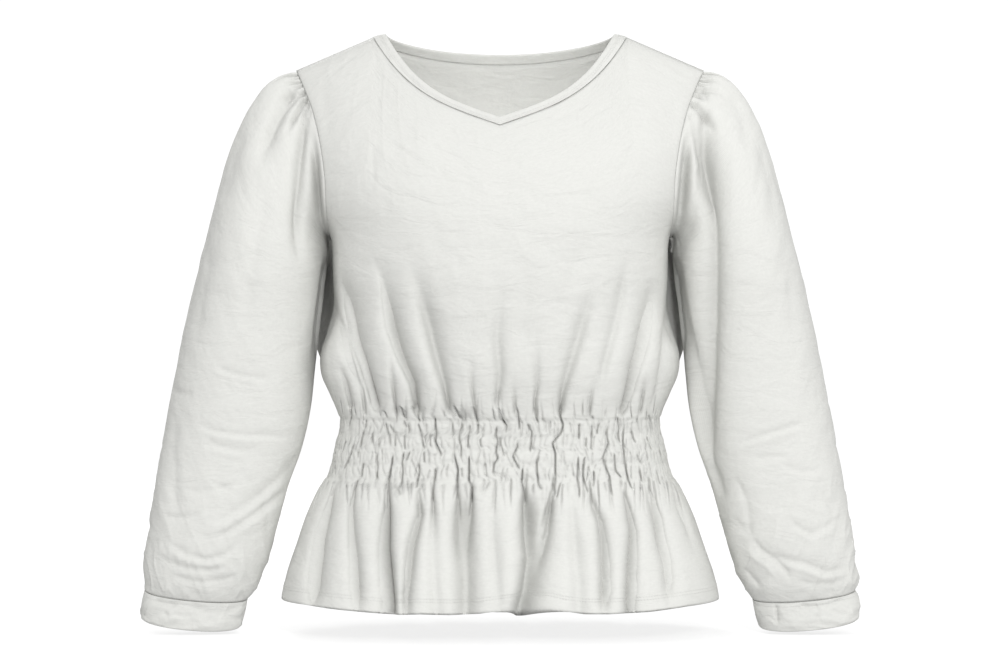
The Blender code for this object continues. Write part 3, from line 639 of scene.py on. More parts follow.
# How much lower the hem hangs than the plain form, by x as seen from the side that it is on. Millimetres.
HEM_DROP = (
    (-230, 0), (-200, 0), (-170, 2), (-120, 4.5), (-100, 5.5), (-80, 4.5), (-50, 5), (-20, 3.5), (0, 0.5),
    (15, -1.5), (30, -3.5), (50, -2.5), (65, 1.5), (85, 4.5), (110, 5), (150, 4), (190, 1), (230, 0),
)
HEM_STITCH_RISES = (0.0120, 0.0148)
HEM_GROOVE = 0.0006
HEM_GROOVE_WIDTH = 0.0009
SEAM_ROLL = 0.0006
SEAM_ROLL_WIDTH = 0.0017
# How much closer together columns come on steep cloth, and the steepness past which they come no closer.
CROWDING = 0.8
STEEPEST = 4
# The cloth is pulled in along its normals, turned to the front or back by these shares.
PULL_IN = np.array([0.18, 1.0, 0.4])
# Faint swells of the cloth: their depth, their size across and down, and their seed.
PANEL_SWELLS = table("depth across down seed", (
    (0.0009, 0.055, 0.075, 11), (0.0004, 0.017, 0.026, 21), (0.00012, 0.006, 0.009, 31),
))
PANEL_RIDGES = 0.0004
PANEL_RIDGE_SIZE = (0.020, 0.045)
PANEL_RIDGE_SEED = 41
# A panel's plain form and its normals, as a raster and at the cloth's own grid, then the folded cloth.
Panel = namedtuple("Panel", "raster raster_normals form normals points")


def thin_out(inward, arc, fields):
    """Fewer columns from a raster, closer together where the cloth is steep."""
    step = np.diff(arc, axis=1)
    steep = np.minimum(np.abs(np.diff(inward, axis=1)) / step, STEEPEST)
    along = np.array([from_start(line) for line in (1 + CROWDING * steep) * step])
    along /= along[:, -1:]
    for _ in range(8):
        along[1:-1] = (along[:-2] + 2 * along[1:-1] + along[2:]) / 4
    wanted = np.linspace(0, 1, PANEL_COLUMNS + 1)
    raster = np.arange(along.shape[1])
    place = np.array([np.interp(wanted, line, raster) for line in along])
    before = np.minimum(place.astype(int), along.shape[1] - 2)
    t = (place - before)[..., None]
    row = np.arange(len(along))[:, None]
    return [field[row, before] * (1 - t) + field[row, before + 1] * t for field in fields]


def make_panel(facing):
    form = panel_form(facing)
    sign = FACINGS[facing]
    normals = facing_out(form, False, form * [1, 1, 0] + [0, sign * 0.02, 0])
    x = form[..., 0]
    z = form[..., 2]
    arc = np.array([from_start(line) for line in lengths_along(form, 1)])
    arc -= arc[:, -1:] / 2
    from_side = np.minimum(arc - arc[:, :1], arc[:, -1:] - arc)
    steps_down = lengths_along(form, 0)[::-1]
    from_top = np.concatenate([np.cumsum(steps_down, axis=0)[::-1], np.zeros((1, x.shape[1]))])
    inland = ease(from_side, 0.0, 0.030)
    soft = sum(s.depth * ripple(arc, z, s.across, s.down, s.seed + sign) for s in PANEL_SWELLS)
    soft = soft + PANEL_RIDGES * ridges(arc + 0.3 * z, z, *PANEL_RIDGE_SIZE, PANEL_RIDGE_SEED + sign)
    from_waist = np.maximum(np.maximum(z - ELASTIC_TOP_Z, ELASTIC_LOW_Z - z), 0)
    away = ease(from_waist, -0.01, 0.085)
    inward = sum(press(lines, habit, x, z, away=away) for lines, habit in PANEL_CREASES[facing])
    inward = inward * inland - soft * inland * ease(from_top, 0.0, 0.030)
    inward = inward * (1 - 0.8 * in_waist(z, 0.034, 0.010))
    inward += shirring(x, arc, z, -sign, 7 - sign) * ease(from_side, 0.0, 0.005)

    # The hem is folded double, and every seam edge is rolled in.
    hem = 1 - ease(z, HEM_Z + HEM_DEPTH - 0.001, HEM_Z + HEM_DEPTH + 0.001)
    grooves = sum(bell(z - HEM_Z - rise, HEM_GROOVE_WIDTH) for rise in HEM_STITCH_RISES)
    at_top = bell(from_top, SEAM_ROLL_WIDTH)
    edge_roll = np.minimum(bell(from_side, SEAM_ROLL_WIDTH) + at_top, 1)
    inward += HEM_GROOVE * grooves + SEAM_ROLL * (edge_roll - 0.4 * at_top * (z > UNDERARM_Z))
    inward += HEM_EDGE_ROLL * bell(z - HEM_Z, HEM_EDGE_WIDTH) - HEM_RAISE * hem
    grid, out, depth = thin_out(inward, arc, [form, normals, inward[..., None]])
    points = grid - unit(out * PULL_IN) * depth
    drop = np.interp(-sign * grid[..., 0] / MM, *np.array(HEM_DROP).T) * MM
    points[..., 2] -= drop * ease(-grid[..., 2], -ELASTIC_LOW_Z + 0.02, -HEM_Z)
    return Panel(raster=form, raster_normals=normals, form=grid, normals=out, points=points)


def flat_plan(form):
    """Each grid point's place on the flat cloth, in metres."""
    z = form[:, 0, 2]
    cut = np.where(z < UNDERARM_Z + 0.001, smooth(GATHER, "ratio", z), 1.0)
    widths = lengths_along(form, 1).sum(axis=1) * cut
    share = np.linspace(-0.5, 0.5, form.shape[1])
    rise = from_start(lengths_along(form, 0).mean(axis=1))
    return np.stack([widths[:, None] * share, np.broadcast_to(rise[:, None], form.shape[:2])], axis=-1)


# ================================================================ meshes
CLOTH = 0.0011
# Between these heights a panel's mesh keeps every column, and elsewhere every second one.
WAIST_FINE_LOW = -0.492
WAIST_FINE_HIGH = -0.372


def grid_index(rows, columns, closed=False):
    """The numbers of a grid's vertices. A closed grid ends with its first column again."""
    index = np.arange(rows * columns).reshape(rows, columns)
    return np.concatenate([index, index[:, :1]], axis=1) if closed else index


def grid_faces(index):
    return np.stack([index[:-1, :-1], index[:-1, 1:], index[1:, 1:], index[1:, :-1]], axis=-1).reshape(-1, 4)


def step_faces(fine, coarse):
    """Triangles between a line of vertices and the next line, which keeps every second column."""
    a = fine[:-2:2]
    b = fine[1:-1:2]
    c = fine[2::2]
    d = coarse[1:]
    e = coarse[:-1]
    return np.concatenate([np.stack(three, axis=-1) for three in ((a, b, e), (b, d, e), (b, c, d))])


def ribbon(one, two):
    """Triangles between two lines of vertices that start and end beside each other."""
    faces = []
    i = 0
    j = 0
    while i < len(one) - 1 or j < len(two) - 1:
        if j == len(two) - 1 or (i + 1) * (len(two) - 1) <= (j + 1) * (len(one) - 1):
            faces.append((one[i], one[i + 1], two[j]))
            i += 1
        else:
            faces.append((one[i], two[j + 1], two[j]))
            j += 1
    return np.array(faces)


def link(name, data):
    """A new object with this data, in the scene."""
    made = bpy.data.objects.new(name, data)
    bpy.context.scene.collection.objects.link(made)
    return made


def add_mesh(name, vertices, blocks, flat, material):
    """A mesh object from blocks of faces, each block an array of vertex numbers. Its UV map is the place of
    each vertex on the flat cloth, in metres. Vertices that no face uses are left out."""
    corners = np.concatenate([block.ravel() for block in blocks])
    used, corners = np.unique(corners, return_inverse=True)
    vertices = vertices[used]
    sizes = np.concatenate([np.full(len(block), block.shape[1]) for block in blocks])
    mesh = bpy.data.meshes.new(name)
    mesh.vertices.add(len(vertices))
    mesh.vertices.foreach_set("co", vertices.astype(np.float32).ravel())
    mesh.loops.add(len(corners))
    mesh.loops.foreach_set("vertex_index", corners.astype(np.int32))
    mesh.polygons.add(len(sizes))
    mesh.polygons.foreach_set("loop_start", (np.cumsum(sizes) - sizes).astype(np.int32))
    mesh.update(calc_edges=True)
    mesh.validate()
    layer = mesh.uv_layers.new(name="flat")
    layer.data.foreach_set("uv", flat[used][corners].astype(np.float32).ravel())
    mesh.shade_smooth()
    mesh.materials.append(material)
    return link(name, mesh)


def add_closed(name, vertices, blocks, flat, material):
    """A closed mesh with its faces outward, from blocks of triangles and quads."""
    sorted_blocks = []
    for corners in (3, 4):
        alike = [block for block in blocks if block.shape[1] == corners]
        if alike:
            sorted_blocks.append(np.concatenate(alike))
    made = add_mesh(name, vertices, sorted_blocks, flat, material)
    mesh = made.data
    co = np.empty(len(mesh.vertices) * 3)
    mesh.vertices.foreach_get("co", co)
    mesh.calc_loop_triangles()
    corners = np.empty(len(mesh.loop_triangles) * 3, int)
    mesh.loop_triangles.foreach_get("vertices", corners)
    a, b, c = co.reshape(-1, 3)[corners.reshape(-1, 3)].transpose(1, 0, 2)
    if (a * np.cross(b, c)).sum() < 0:
        mesh.flip_normals()
    return made


def lowest_near(values, reach, closed):
    """For each grid value, the least value within one row and so many columns."""
    low = values.copy()
    for shift in range(1, reach + 1):
        for step in (-shift, shift):
            moved = np.roll(values, step, axis=1)
            if not closed and step > 0:
                moved[:, :step] = values[:, :1]
            if not closed and step < 0:
                moved[:, step:] = values[:, -1:]
            low = np.minimum(low, moved)
    lowest = low.copy()
    lowest[1:] = np.minimum(lowest[1:], low[:-1])
    lowest[:-1] = np.minimum(lowest[:-1], low[1:])
    return lowest


def two_faces(form, normals, points, reach, closed):
    """The points of the outer face, then those of the inner face: behind the lowest outer point nearby, by
    the cloth's thickness."""
    off = ((points - form) * normals).sum(axis=-1)
    inner = form + normals * (lowest_near(off, reach, closed) - CLOTH)[..., None]
    return np.concatenate([points.reshape(-1, 3), inner.reshape(-1, 3)])


def panel_mesh(name, panel, material):
    rows, columns = panel.points.shape[:2]
    index = grid_index(rows, columns)
    z = panel.form[:, 0, 2]
    first = int(np.searchsorted(z, WAIST_FINE_LOW))
    last = int(np.searchsorted(z, WAIST_FINE_HIGH))
    below = index[:first, ::2]
    above = index[last + 1 :, ::2]
    inside = index[::2, ::4] + rows * columns
    blocks = [
        grid_faces(below),
        grid_faces(index[first : last + 1]),
        grid_faces(above),
        step_faces(index[first], below[-1])[:, ::-1],
        step_faces(index[last], above[0]),
        grid_faces(inside)[:, ::-1],
        ribbon(index[0, ::2][::-1], inside[0][::-1]),
        ribbon(index[-1, ::2], inside[-1]),
        ribbon(index[:, 0], inside[:, 0]),
        ribbon(index[:, -1][::-1], inside[:, -1][::-1]),
    ]
    vertices = two_faces(panel.form, panel.normals, panel.points, 2, False)
    flat = flat_plan(panel.form).reshape(-1, 2)
    return add_closed(name, vertices, blocks, np.concatenate([flat, flat]), material)


# ================================================================ sleeves
# Level sections of a sleeve and its cuff on the +X side: the middle, half width and half depth.
SLEEVE = table("z middle_x half_x middle_y half_y", (
    (-0.2450, 0.2473, 0.0668, 0.000, 0.074), (-0.2750, 0.2524, 0.0682, 0.000, 0.070),
    (-0.3100, 0.2582, 0.0702, -0.001, 0.066), (-0.3500, 0.2644, 0.0718, -0.003, 0.062),
    (-0.3900, 0.2704, 0.0735, -0.005, 0.059), (-0.4300, 0.2785, 0.0727, -0.007, 0.056),
    (-0.4700, 0.2889, 0.0691, -0.010, 0.053), (-0.5100, 0.2975, 0.0663, -0.013, 0.050),
    (-0.5450, 0.3048, 0.0630, -0.016, 0.044), (-0.5680, 0.3111, 0.0586, -0.018, 0.036),
    (-0.5815, 0.3144, 0.0534, -0.019, 0.029),
))
CUFF = table("z middle_x half_x middle_y half_y", (
    (-0.5815, 0.3144, 0.0534, -0.019, 0.029), (-0.5965, 0.3176, 0.0533, -0.019, 0.029),
    (-0.6100, 0.3197, 0.0520, -0.019, 0.028),
))
CUFF_SLOPE_X = 0.090
CUFF_SLOPE_TOP = 0.17
CUFF_SLOPE_BOTTOM = 0.24
CUFF_SLOPE_START = 0.10
TUBE_POWER = 2.15
SLEEVE_COLUMNS = 320
CAP_ROWS = 65
JOIN_ROWS = 30
JOIN_PASSES = 120
TIP_PASSES = 150
TUBE_ROWS = 150
CAP_REACH_UNDERARM = 0.012
CAP_REACH_SIDE = 0.015
CAP_REACH_TIP = 0.050
CAP_LIFT = 0.56
CAP_FALL_UNDERARM = 0.021
CAP_FALL_TIP = 0.118
# How far up the armhole the sleeve's columns meet it, for every sixteenth of a turn from the underarm.
ARMHOLE_CLIMB = (0.0, 0.025, 0.085, 0.20, 0.37, 0.56, 0.75, 0.91, 1.0)

SLEEVE_CREASES = {
    "right": creases(
        (4.0, 7, 8, -212, -48, -225, -71, -236, -98, -245, -122),
        (2.0, 8, 8, -262, -96, -276, -130, -284, -180),
        (2.2, 9, 9, -236, -150, -246, -210, -256, -270, -262, -320),
        (1.8, 8, 8, -296, -220, -305, -270, -312, -330),
        (1.8, 1.8, 3, -292, -346, -276, -352, -262, -356, -244, -358, -232, -357),
        (-1.4, 2.2, 2.2, -294, -350, -276, -356, -258, -360, -240, -362),
        (1.6, 2, 3, -340, -370, -328, -373, -312, -375),
        (1.6, 2.2, 3.2, -316, -404, -300, -409, -285, -413, -264, -416, -243, -417, -203, -419),
        (-1.2, 2.4, 2.4, -312, -410, -290, -417, -264, -421, -240, -422, -214, -423),
        (1.5, 2.5, 3, -306, -422, -284, -428, -262, -432, -240, -430),
        (-1.1, 2.5, 2.5, -300, -428, -280, -435, -258, -438),
        (1.4, 1.8, 2.5, -298, -461, -284, -468, -270, -475),
        (1.2, 2.5, 3, -326, -470, -306, -473, -284, -470, -262, -462),
        (3.0, 6, 8, -204, -430, -222, -456, -240, -474, -264, -492, -296, -506),
        (-2.0, 5, 6, -208, -446, -228, -470, -250, -490, -280, -508, -310, -516),
        (2.6, 3.5, 5, -214, -466, -236, -486, -254, -499, -278, -515, -300, -524),
        (-1.6, 4, 4, -220, -480, -240, -498, -262, -512, -288, -526),
        (1.6, 2, 3, -350, -497, -334, -500, -316, -499, -302, -494),
        (2.2, 2.5, 3.5, -346, -518, -333, -530, -318, -538, -300, -543, -282, -539, -262, -526),
        (-1.4, 2.5, 2.5, -338, -536, -318, -545, -296, -549, -274, -543),
        (2.0, 2, 3, -354, -538, -338, -546, -320, -552, -296, -554, -268, -549),
        (1.8, 2, 2.6, -340, -558, -326, -562, -304, -566, -280, -563, -262, -557),
        (2.2, 6, 8, -333, -385, -336, -430, -334, -470, -331, -512),
        (1.2, 3, 3, -246, -470, -238, -500, -240, -530),
    ),
    "left": creases(
        (2.5, 8, 8, 238, -60, 252, -90, 258, -130),
        (2.0, 8, 8, 268, -110, 280, -160, 284, -210),
        (1.9, 9, 9, 292, -230, 300, -280, 302, -330),
        (2.0, 2.4, 3.4, 240, -425, 255, -420, 272, -414, 292, -408, 318, -402),
        (-1.3, 2.4, 2.4, 246, -429, 266, -423, 290, -415, 312, -409),
        (1.4, 2, 3, 258, -440, 274, -437, 296, -437),
        (1.3, 2, 3, 286, -446, 308, -453, 334, -452),
        (2.6, 3, 4, 213, -448, 222, -462, 230, -486),
        (1.8, 3, 4, 292, -500, 305, -510, 318, -516, 336, -508, 356, -496),
        (-1.3, 3, 3, 298, -512, 318, -523, 342, -514),
        (3.0, 3, 3.5, 256, -520, 266, -533, 280, -543, 292, -554, 298, -568),
        (-1.6, 3, 3, 250, -530, 262, -543, 276, -553, 284, -566),
        (2.6, 2.6, 3.6, 272, -537, 292, -543, 312, -547, 335, -556, 362, -551),
        (-1.4, 2.6, 2.6, 286, -549, 308, -553, 330, -562, 352, -560),
        (2.0, 2.2, 3, 250, -552, 258, -562, 268, -574),
        (1.5, 2, 2.6, 300, -563, 318, -568, 342, -568, 360, -562),
        (1.6, 4, 4, 236, -500, 250, -512, 262, -516),
        (2.0, 4, 5, 240, -455, 252, -485, 256, -520),
        (1.3, 4, 4, 330, -470, 340, -490, 348, -500),
    ),
}
# Tucks that start at the armhole seam, the long folds below them, and the hollow above the underarm.
SLEEVE_TUCKS = {
    "right": creases(
        (7.5, 1.8, 4, -199, -64, -204, -73, -211, -84, -217, -97, -222, -112),
        (4.5, 1.4, 3, -197, -72, -201, -80, -203, -92, -204, -110),
        (3.6, 1.3, 3, -201, -58, -210, -66, -220, -74, -230, -86),
        (2.2, 1.4, 2.5, -195, -82, -199, -92, -200, -104),
        (2.2, 1.4, 2.5, -204, -52, -212, -56, -222, -62),
    ),
    "left": creases(
        (6.5, 4, 2.2, 194, -71, 203, -77, 213, -85, 221, -98, 224, -112),
        (4.0, 2, 3.5, 199, -60, 206, -66, 212, -74),
        (3.2, 1.6, 3, 204, -52, 210, -58, 214, -68, 218, -78),
        (2.6, 1.5, 2.5, 196, -64, 200, -69),
        (2.4, 1.5, 2.5, 191, -82, 195, -88, 197, -98),
        (2.2, 1.5, 2.5, 206, -46, 214, -50, 222, -56),
    ),
}
SLEEVE_PLEATS = {
    "right": creases(
        (9.5, 6, 6.5, -199, -88, -203, -110, -205, -130, -206, -170, -205, -215, -204, -250),
        (5.5, 8, 8, -212, -52, -225, -74, -235, -98, -243, -122, -246, -150),
    ),
    "left": creases(
        (
            20.0, 16, 16, 212, -85, 213, -120, 213, -180, 212, -230, 210, -300, 207, -345,
            204, -395, 203, -440, 212, -490, 228, -540,
        ),
        (7.5, 7, 7, 208, -72, 212, -92, 214, -120, 214, -150, 214, -205),
        (4.0, 4, 5, 197, -76, 199, -100, 204, -130, 206, -160),
    ),
}
UNDERARM_HOLLOWS = {
    "right": creases(
        (21.0, 6, 3.5, -187, -92, -186, -112, -185, -140, -184, -165, -182, -190, -181, -212),
    ),
    "left": creases(
        (21.0, 3.5, 6, 189, -92, 188, -112, 187, -140, 185, -165, 182, -190, 181, -212),
    ),
}
SLEEVE_BACK_CREASES = creases(
    (3.8, 4, 5, 206, -62, 214, -80, 224, -98, 232, -120),
    (4.8, 7, 8, 214, -100, 214, -150, 216, -210, 220, -270),
    (2.5, 8, 8, 250, -80, 266, -120, 274, -170),
    (2.2, 9, 9, 262, -200, 270, -260, 276, -320),
)
# Seen from the outer side, by (-y or y, z): the creases of the front and back end here.
SLEEVE_OUTER_CREASES = creases(
    (0.9, 9, 9, -18, -120, -12, -190, -10, -260),
    (0.7, 9, 9, 22, -140, 20, -220, 16, -300),
    (0.9, 3, 4, -40, -378, -14, -384, 16, -380),
    (1.0, 4, 3, -30, -424, 0, -432, 26, -426),
    (0.8, 3, 4, -44, -466, -22, -474, 8, -470),
    (1.0, 4, 4, -12, -506, 12, -514, 34, -508),
    (0.9, 3, 3, -40, -538, -16, -546, 14, -540),
    (0.7, 3, 3, -6, -562, 14, -568, 26, -564),
)
# The recess along the body side, in degrees from the body side towards the front, and its lower end.
RECESS_DEPTH = 0.0058
RECESS_BACK = (-5, 1)
RECESS_FRONT = (8, 24)
RECESS_LOW = (-0.350, -0.305)
# Tucks where the sleeve head is gathered in to the armhole: degrees round it from the underarm through the
# front, with the tip at 180, then depth, half width in degrees and length, in millimetres.
HEAD_TUCKS = table("turn depth width length", (
    (146, 2.2, 1.3, 12), (151, 4.0, 1.6, 40), (157, 2.8, 1.2, 16), (162, 3.2, 1.3, 26),
    (168, 2.5, 1.2, 14), (173, 3.5, 1.4, 34), (180, 2.8, 1.3, 20), (186, 3.5, 1.4, 38),
    (192, 2.5, 1.2, 18), (198, 3.2, 1.4, 30), (204, 2.8, 1.3, 16), (210, 3.8, 1.6, 42),
    (217, 2.2, 1.3, 14),
))
HEAD_TUCK_SHIFT = {"right": 0, "left": 2.5}
# How far down the sleeve a tuck gets as wide again.
TUCK_SPREAD = 0.03
# Faint swells of the cloth, as for the panels, and how much deeper they are where it is crumpled by the cuff.
SLEEVE_SWELLS = table("depth crumpled across down seed", (
    (0.0010, 0.0, 0.060, 0.085, 0), (0.0004, 0.0008, 0.030, 0.017, 10), (0.00012, 0.0, 0.007, 0.009, 20),
))
SLEEVE_RIDGES = 0.0002
SLEEVE_RIDGE_SIZE = (0.034, 0.016)
CRUMPLED_RIDGES = 0.0011
CRUMPLED_LENGTH = 0.17
SLEEVE_SEEDS = {"right": 41, "left": 43}


def full_turn():
    return 2 * math.pi * np.arange(SLEEVE_COLUMNS) / SLEEVE_COLUMNS


def tube_points(tubes, z, turns, mirror):
    """Points round level sections at these heights, from the body side through the front."""
    z = z[:, None] + 0 * turns
    middle_x = smooth(tubes, "middle_x", z)
    middle_y = smooth(tubes, "middle_y", z)
    power = 2 / TUBE_POWER
    x = middle_x - smooth(tubes, "half_x", z) * np.sign(np.cos(turns)) * np.abs(np.cos(turns)) ** power
    y = middle_y - smooth(tubes, "half_y", z) * np.sign(np.sin(turns)) * np.abs(np.sin(turns)) ** power
    return np.stack([mirror * x, y, z], axis=-1)


def slope(points, tubes, mirror, slope_y, share):
    """Rings lowered towards the body and towards the front, by a share of the cuff's slopes."""
    towards_body = smooth(tubes, "middle_x", points[..., 2]) - mirror * points[..., 0]
    towards_front = smooth(tubes, "middle_y", points[..., 2]) - points[..., 1]
    lowered = points.copy()
    lowered[..., 2] -= share * (CUFF_SLOPE_X * towards_body + slope_y * towards_front)
    return lowered


def armhole_line(panels, mirror, turns):
    """Points of the armhole and their normals, for the sleeve's columns."""
    first = len(row_heights()) - 1
    column = -1 if mirror > 0 else 0
    climb = np.linspace(0, 1, UPPER_STEPS + 1)
    sixteenths = np.abs((turns / (2 * math.pi) * 16 + 8) % 16 - 8)
    wanted = np.interp(sixteenths, np.arange(9), ARMHOLE_CLIMB)
    on_front = turns <= math.pi
    points = np.zeros((len(turns), 3))
    normals = np.zeros((len(turns), 3))
    for facing, where in (("front", on_front), ("back", ~on_front)):
        panel = panels[facing]
        points[where] = read_line(wanted[where], climb, panel.raster[first:, column])
        normals[where] = read_line(wanted[where], climb, panel.raster_normals[first:, column])
    return points, unit(normals)


def sleeve_recess(degrees, z, down):
    """The fold along the body side of a sleeve, whose front part lies further from the body."""
    across = ease(degrees, *RECESS_BACK) * (1 - ease(degrees, *RECESS_FRONT))
    along = ease(z, *RECESS_LOW) * ease(down, 0.018, 0.050)
    return RECESS_DEPTH * across * along


def sleeve_normals(form):
    return facing_out(form, True, form - form.mean(axis=1, keepdims=True))


def soften(normals, first_row):
    """A sleeve's normals made smoother along it, below this first row."""
    normals[0] = first_row
    for _ in range(2):
        normals[1:-1] = unit(normals[:-2] + 2 * normals[1:-1] + normals[2:])
    return normals


def sleeve_form(edge, edge_normals, mirror, turns, tipward):
    """The plain form of a sleeve, which leaves the armhole's line and runs into level sections."""
    tangents = np.roll(edge, -1, axis=0) - np.roll(edge, 1, axis=0)
    off = unit(np.cross(tangents, edge_normals)) * mirror
    start = edge + off * SEAM_GAP
    z = np.linspace(SLEEVE[0].z, SLEEVE[-1].z, TUBE_ROWS)
    share = np.clip((SLEEVE[-2].z + CUFF_SLOPE_START - z) / CUFF_SLOPE_START, 0, 1)[:, None]
    tube = slope(tube_points(SLEEVE, z, turns, mirror), SLEEVE, mirror, CUFF_SLOPE_TOP, share)

    reach = CAP_REACH_UNDERARM * (1 - tipward) + CAP_REACH_TIP * tipward**2
    reach = reach + CAP_REACH_SIDE * np.sin(turns) ** 2
    lift = np.stack([np.full(len(turns), float(mirror)), 0 * turns, CAP_LIFT * tipward**2], axis=1)
    leave = unit(off + (0.35 + 0.15 * tipward)[:, None] * (lift - off))
    second = start + leave * reach[:, None]
    fall = CAP_FALL_UNDERARM + (CAP_FALL_TIP - CAP_FALL_UNDERARM) * tipward**1.6
    lean = -mirror * (0.12 + 0.12 * tipward)
    third = tube[0] + np.stack([lean, np.zeros_like(lean), np.ones_like(lean)], axis=1) * fall[:, None]
    t = np.linspace(0, 1, CAP_ROWS, endpoint=False)[:, None, None]
    t = t * (0.75 + 0.25 * t)
    cap = start * (1 - t) ** 3 + 3 * second * t * (1 - t) ** 2 + 3 * third * t * t * (1 - t) + tube[0] * t**3
    form = np.concatenate([cap, tube])
    # Where the sleeve's head runs into its tube the form is eased, and none of it above that is moved.
    join = slice(CAP_ROWS - JOIN_ROWS, CAP_ROWS + JOIN_ROWS)
    blend = np.hanning(2 * JOIN_ROWS)[:, None, None]
    for _ in range(JOIN_PASSES):
        beside = (np.roll(form, 1, axis=0)[join] + np.roll(form, -1, axis=0)[join]) / 2
        form[join] += 0.5 * blend * (beside - form[join])
    # The fold over the tip of the armhole is rounded off below the seam, and the head keeps its height.
    round_off = 0.5 * ease(tipward, 0.74, 1.0)[:, None] * ease(np.arange(len(form)), 2, 16)[:, None, None]
    pointed = form.copy()
    for _ in range(TIP_PASSES):
        beside = (np.roll(form, 1, axis=1) + np.roll(form, -1, axis=1)) / 2
        form += round_off * (beside - form)
    tip = len(turns) // 2
    form += ease(tipward, 0.50, 0.95)[:, None] * (pointed - form)[:, tip : tip + 1]
    return form


def sleeve_folds(side, form, normals, down, turns, tipward):
    """How far a sleeve's folds, tucks and rolled edges pull its cloth in."""
    mirror = SIDES[side]
    x, y, z = form.transpose(2, 0, 1)
    to_front = ease(-normals[..., 1], 0.05, 0.35)
    to_back = ease(normals[..., 1], 0.05, 0.35)
    outer_side = ease(mirror * normals[..., 0], 0.55, 0.85)
    inward = (press(SLEEVE_CREASES[side], WRINKLE, x, z) + press(SLEEVE_PLEATS[side], PLEAT, x, z)) * to_front
    # The back has the other sleeve's folds, the other way round.
    other = "left" if side == "right" else "right"
    behind = press(SLEEVE_CREASES[other], WRINKLE, -x, z)
    inward += (behind + press(SLEEVE_BACK_CREASES, WRINKLE, mirror * x, z)) * to_back
    inward += press(SLEEVE_OUTER_CREASES, WRINKLE, mirror * y, z) * outer_side
    inward = inward * ease(down, 0.003, 0.020)
    inward += press(SLEEVE_TUCKS[side], TUCKED, x, z) * to_front * ease(down, 0.0, 0.003)
    degrees = np.degrees(turns)[None, :]
    inward += sleeve_recess((degrees + 180) % 360 - 180, z, down)
    for tuck in HEAD_TUCKS:
        at = tuck.turn + HEAD_TUCK_SHIFT[side]
        fade = 1 - ease(down, 0.2 * tuck.length * MM, tuck.length * MM)
        inward += tuck.depth * MM * fade * bell(degrees - at, tuck.width * (1 + down / TUCK_SPREAD))
    to_cuff = down[-1:] - down
    around = np.cumsum(lengths_round(form), axis=1)
    crumple = 1 - ease(to_cuff, 0.0, CRUMPLED_LENGTH)
    seed = SLEEVE_SEEDS[side]
    lines = ridges(around + 0.5 * down, down, *SLEEVE_RIDGE_SIZE, seed + 30)
    soft = (SLEEVE_RIDGES + CRUMPLED_RIDGES * crumple) * lines
    for s in SLEEVE_SWELLS:
        soft += (s.depth + s.crumpled * crumple) * ripple(around, down, s.across, s.down, seed + s.seed)
    wrap = ease(np.minimum(degrees, 360 - degrees), 0, 8)
    near_seams = ease(down, 0.0, 0.010) * ease(to_cuff, 0.0, 0.008)
    inward = inward * ease(to_cuff, 0.0, 0.006) - soft * near_seams * wrap
    roll = np.minimum(bell(down, SEAM_ROLL_WIDTH) + 0.5 * bell(to_cuff, SEAM_ROLL_WIDTH), 1)
    at_tip = ease(tipward, 0.80, 1.0) * ease(to_cuff, 0.05, 0.10)
    return inward + SEAM_ROLL * roll * (1 - 0.8 * at_tip)


def make_sleeve(side, panels):
    """The fine grid of a sleeve: its plain form, normals and folded points, from the armhole down."""
    turns = full_turn()
    tipward = (1 - np.cos(turns)) / 2
    edge, edge_normals = armhole_line(panels, SIDES[side], turns)
    for _ in range(6):
        edge[1:-1] = edge[1:-1] * 0.5 + (edge[:-2] + edge[2:]) * 0.25
        edge_normals = unit(edge_normals * 2 + np.roll(edge_normals, 1, 0) + np.roll(edge_normals, -1, 0))
    form = sleeve_form(edge, edge_normals, SIDES[side], turns, tipward)
    normals = sleeve_normals(form)
    edge_row = unit(normals[1] + ease(tipward, 0.03, 0.20)[:, None] * (edge_normals - normals[1]))
    normals = soften(normals, edge_row)
    down = np.concatenate([np.zeros((1, len(turns))), np.cumsum(lengths_along(form, 0), axis=0)])
    hollow = press(UNDERARM_HOLLOWS[side], TROUGH, form[..., 0], form[..., 2])
    form[..., 1] += hollow * (ease(-normals[..., 1], -0.15, 0.25) * ease(down, 0.001, 0.010))
    normals = soften(sleeve_normals(form), edge_row)
    inward = sleeve_folds(side, form, normals, down, turns, tipward)
    return form, normals, form - normals * inward[..., None]


def flat_tube(around, down):
    """Each grid point's place on the flat cloth, from its distances round a tube and down it."""
    return np.stack([around, np.broadcast_to(-down[:, None], around.shape)], axis=-1).reshape(-1, 2)


def tube_mesh(name, form, normals, points, material):
    """A tube of cloth from a fine outer grid: the inner face has half as many rows and columns."""
    rows, columns = points.shape[:2]
    index = grid_index(rows, columns, True)
    inside = index[::2, ::2] + rows * columns
    blocks = [
        ribbon(index[0], inside[0])[:, ::-1],
        ribbon(index[-1][::-1], inside[-1][::-1])[:, ::-1],
        grid_faces(index),
        grid_faces(inside)[:, ::-1],
    ]
    around = lengths_round(form)
    u = np.cumsum(np.broadcast_to(around.mean(axis=0), around.shape), axis=1)
    flat = flat_tube(u, from_start(lengths_along(form, 0).mean(axis=1)))
    vertices = two_faces(form, normals, points, 1, True)
    return add_closed(name, vertices, blocks, np.concatenate([flat, flat]), material)


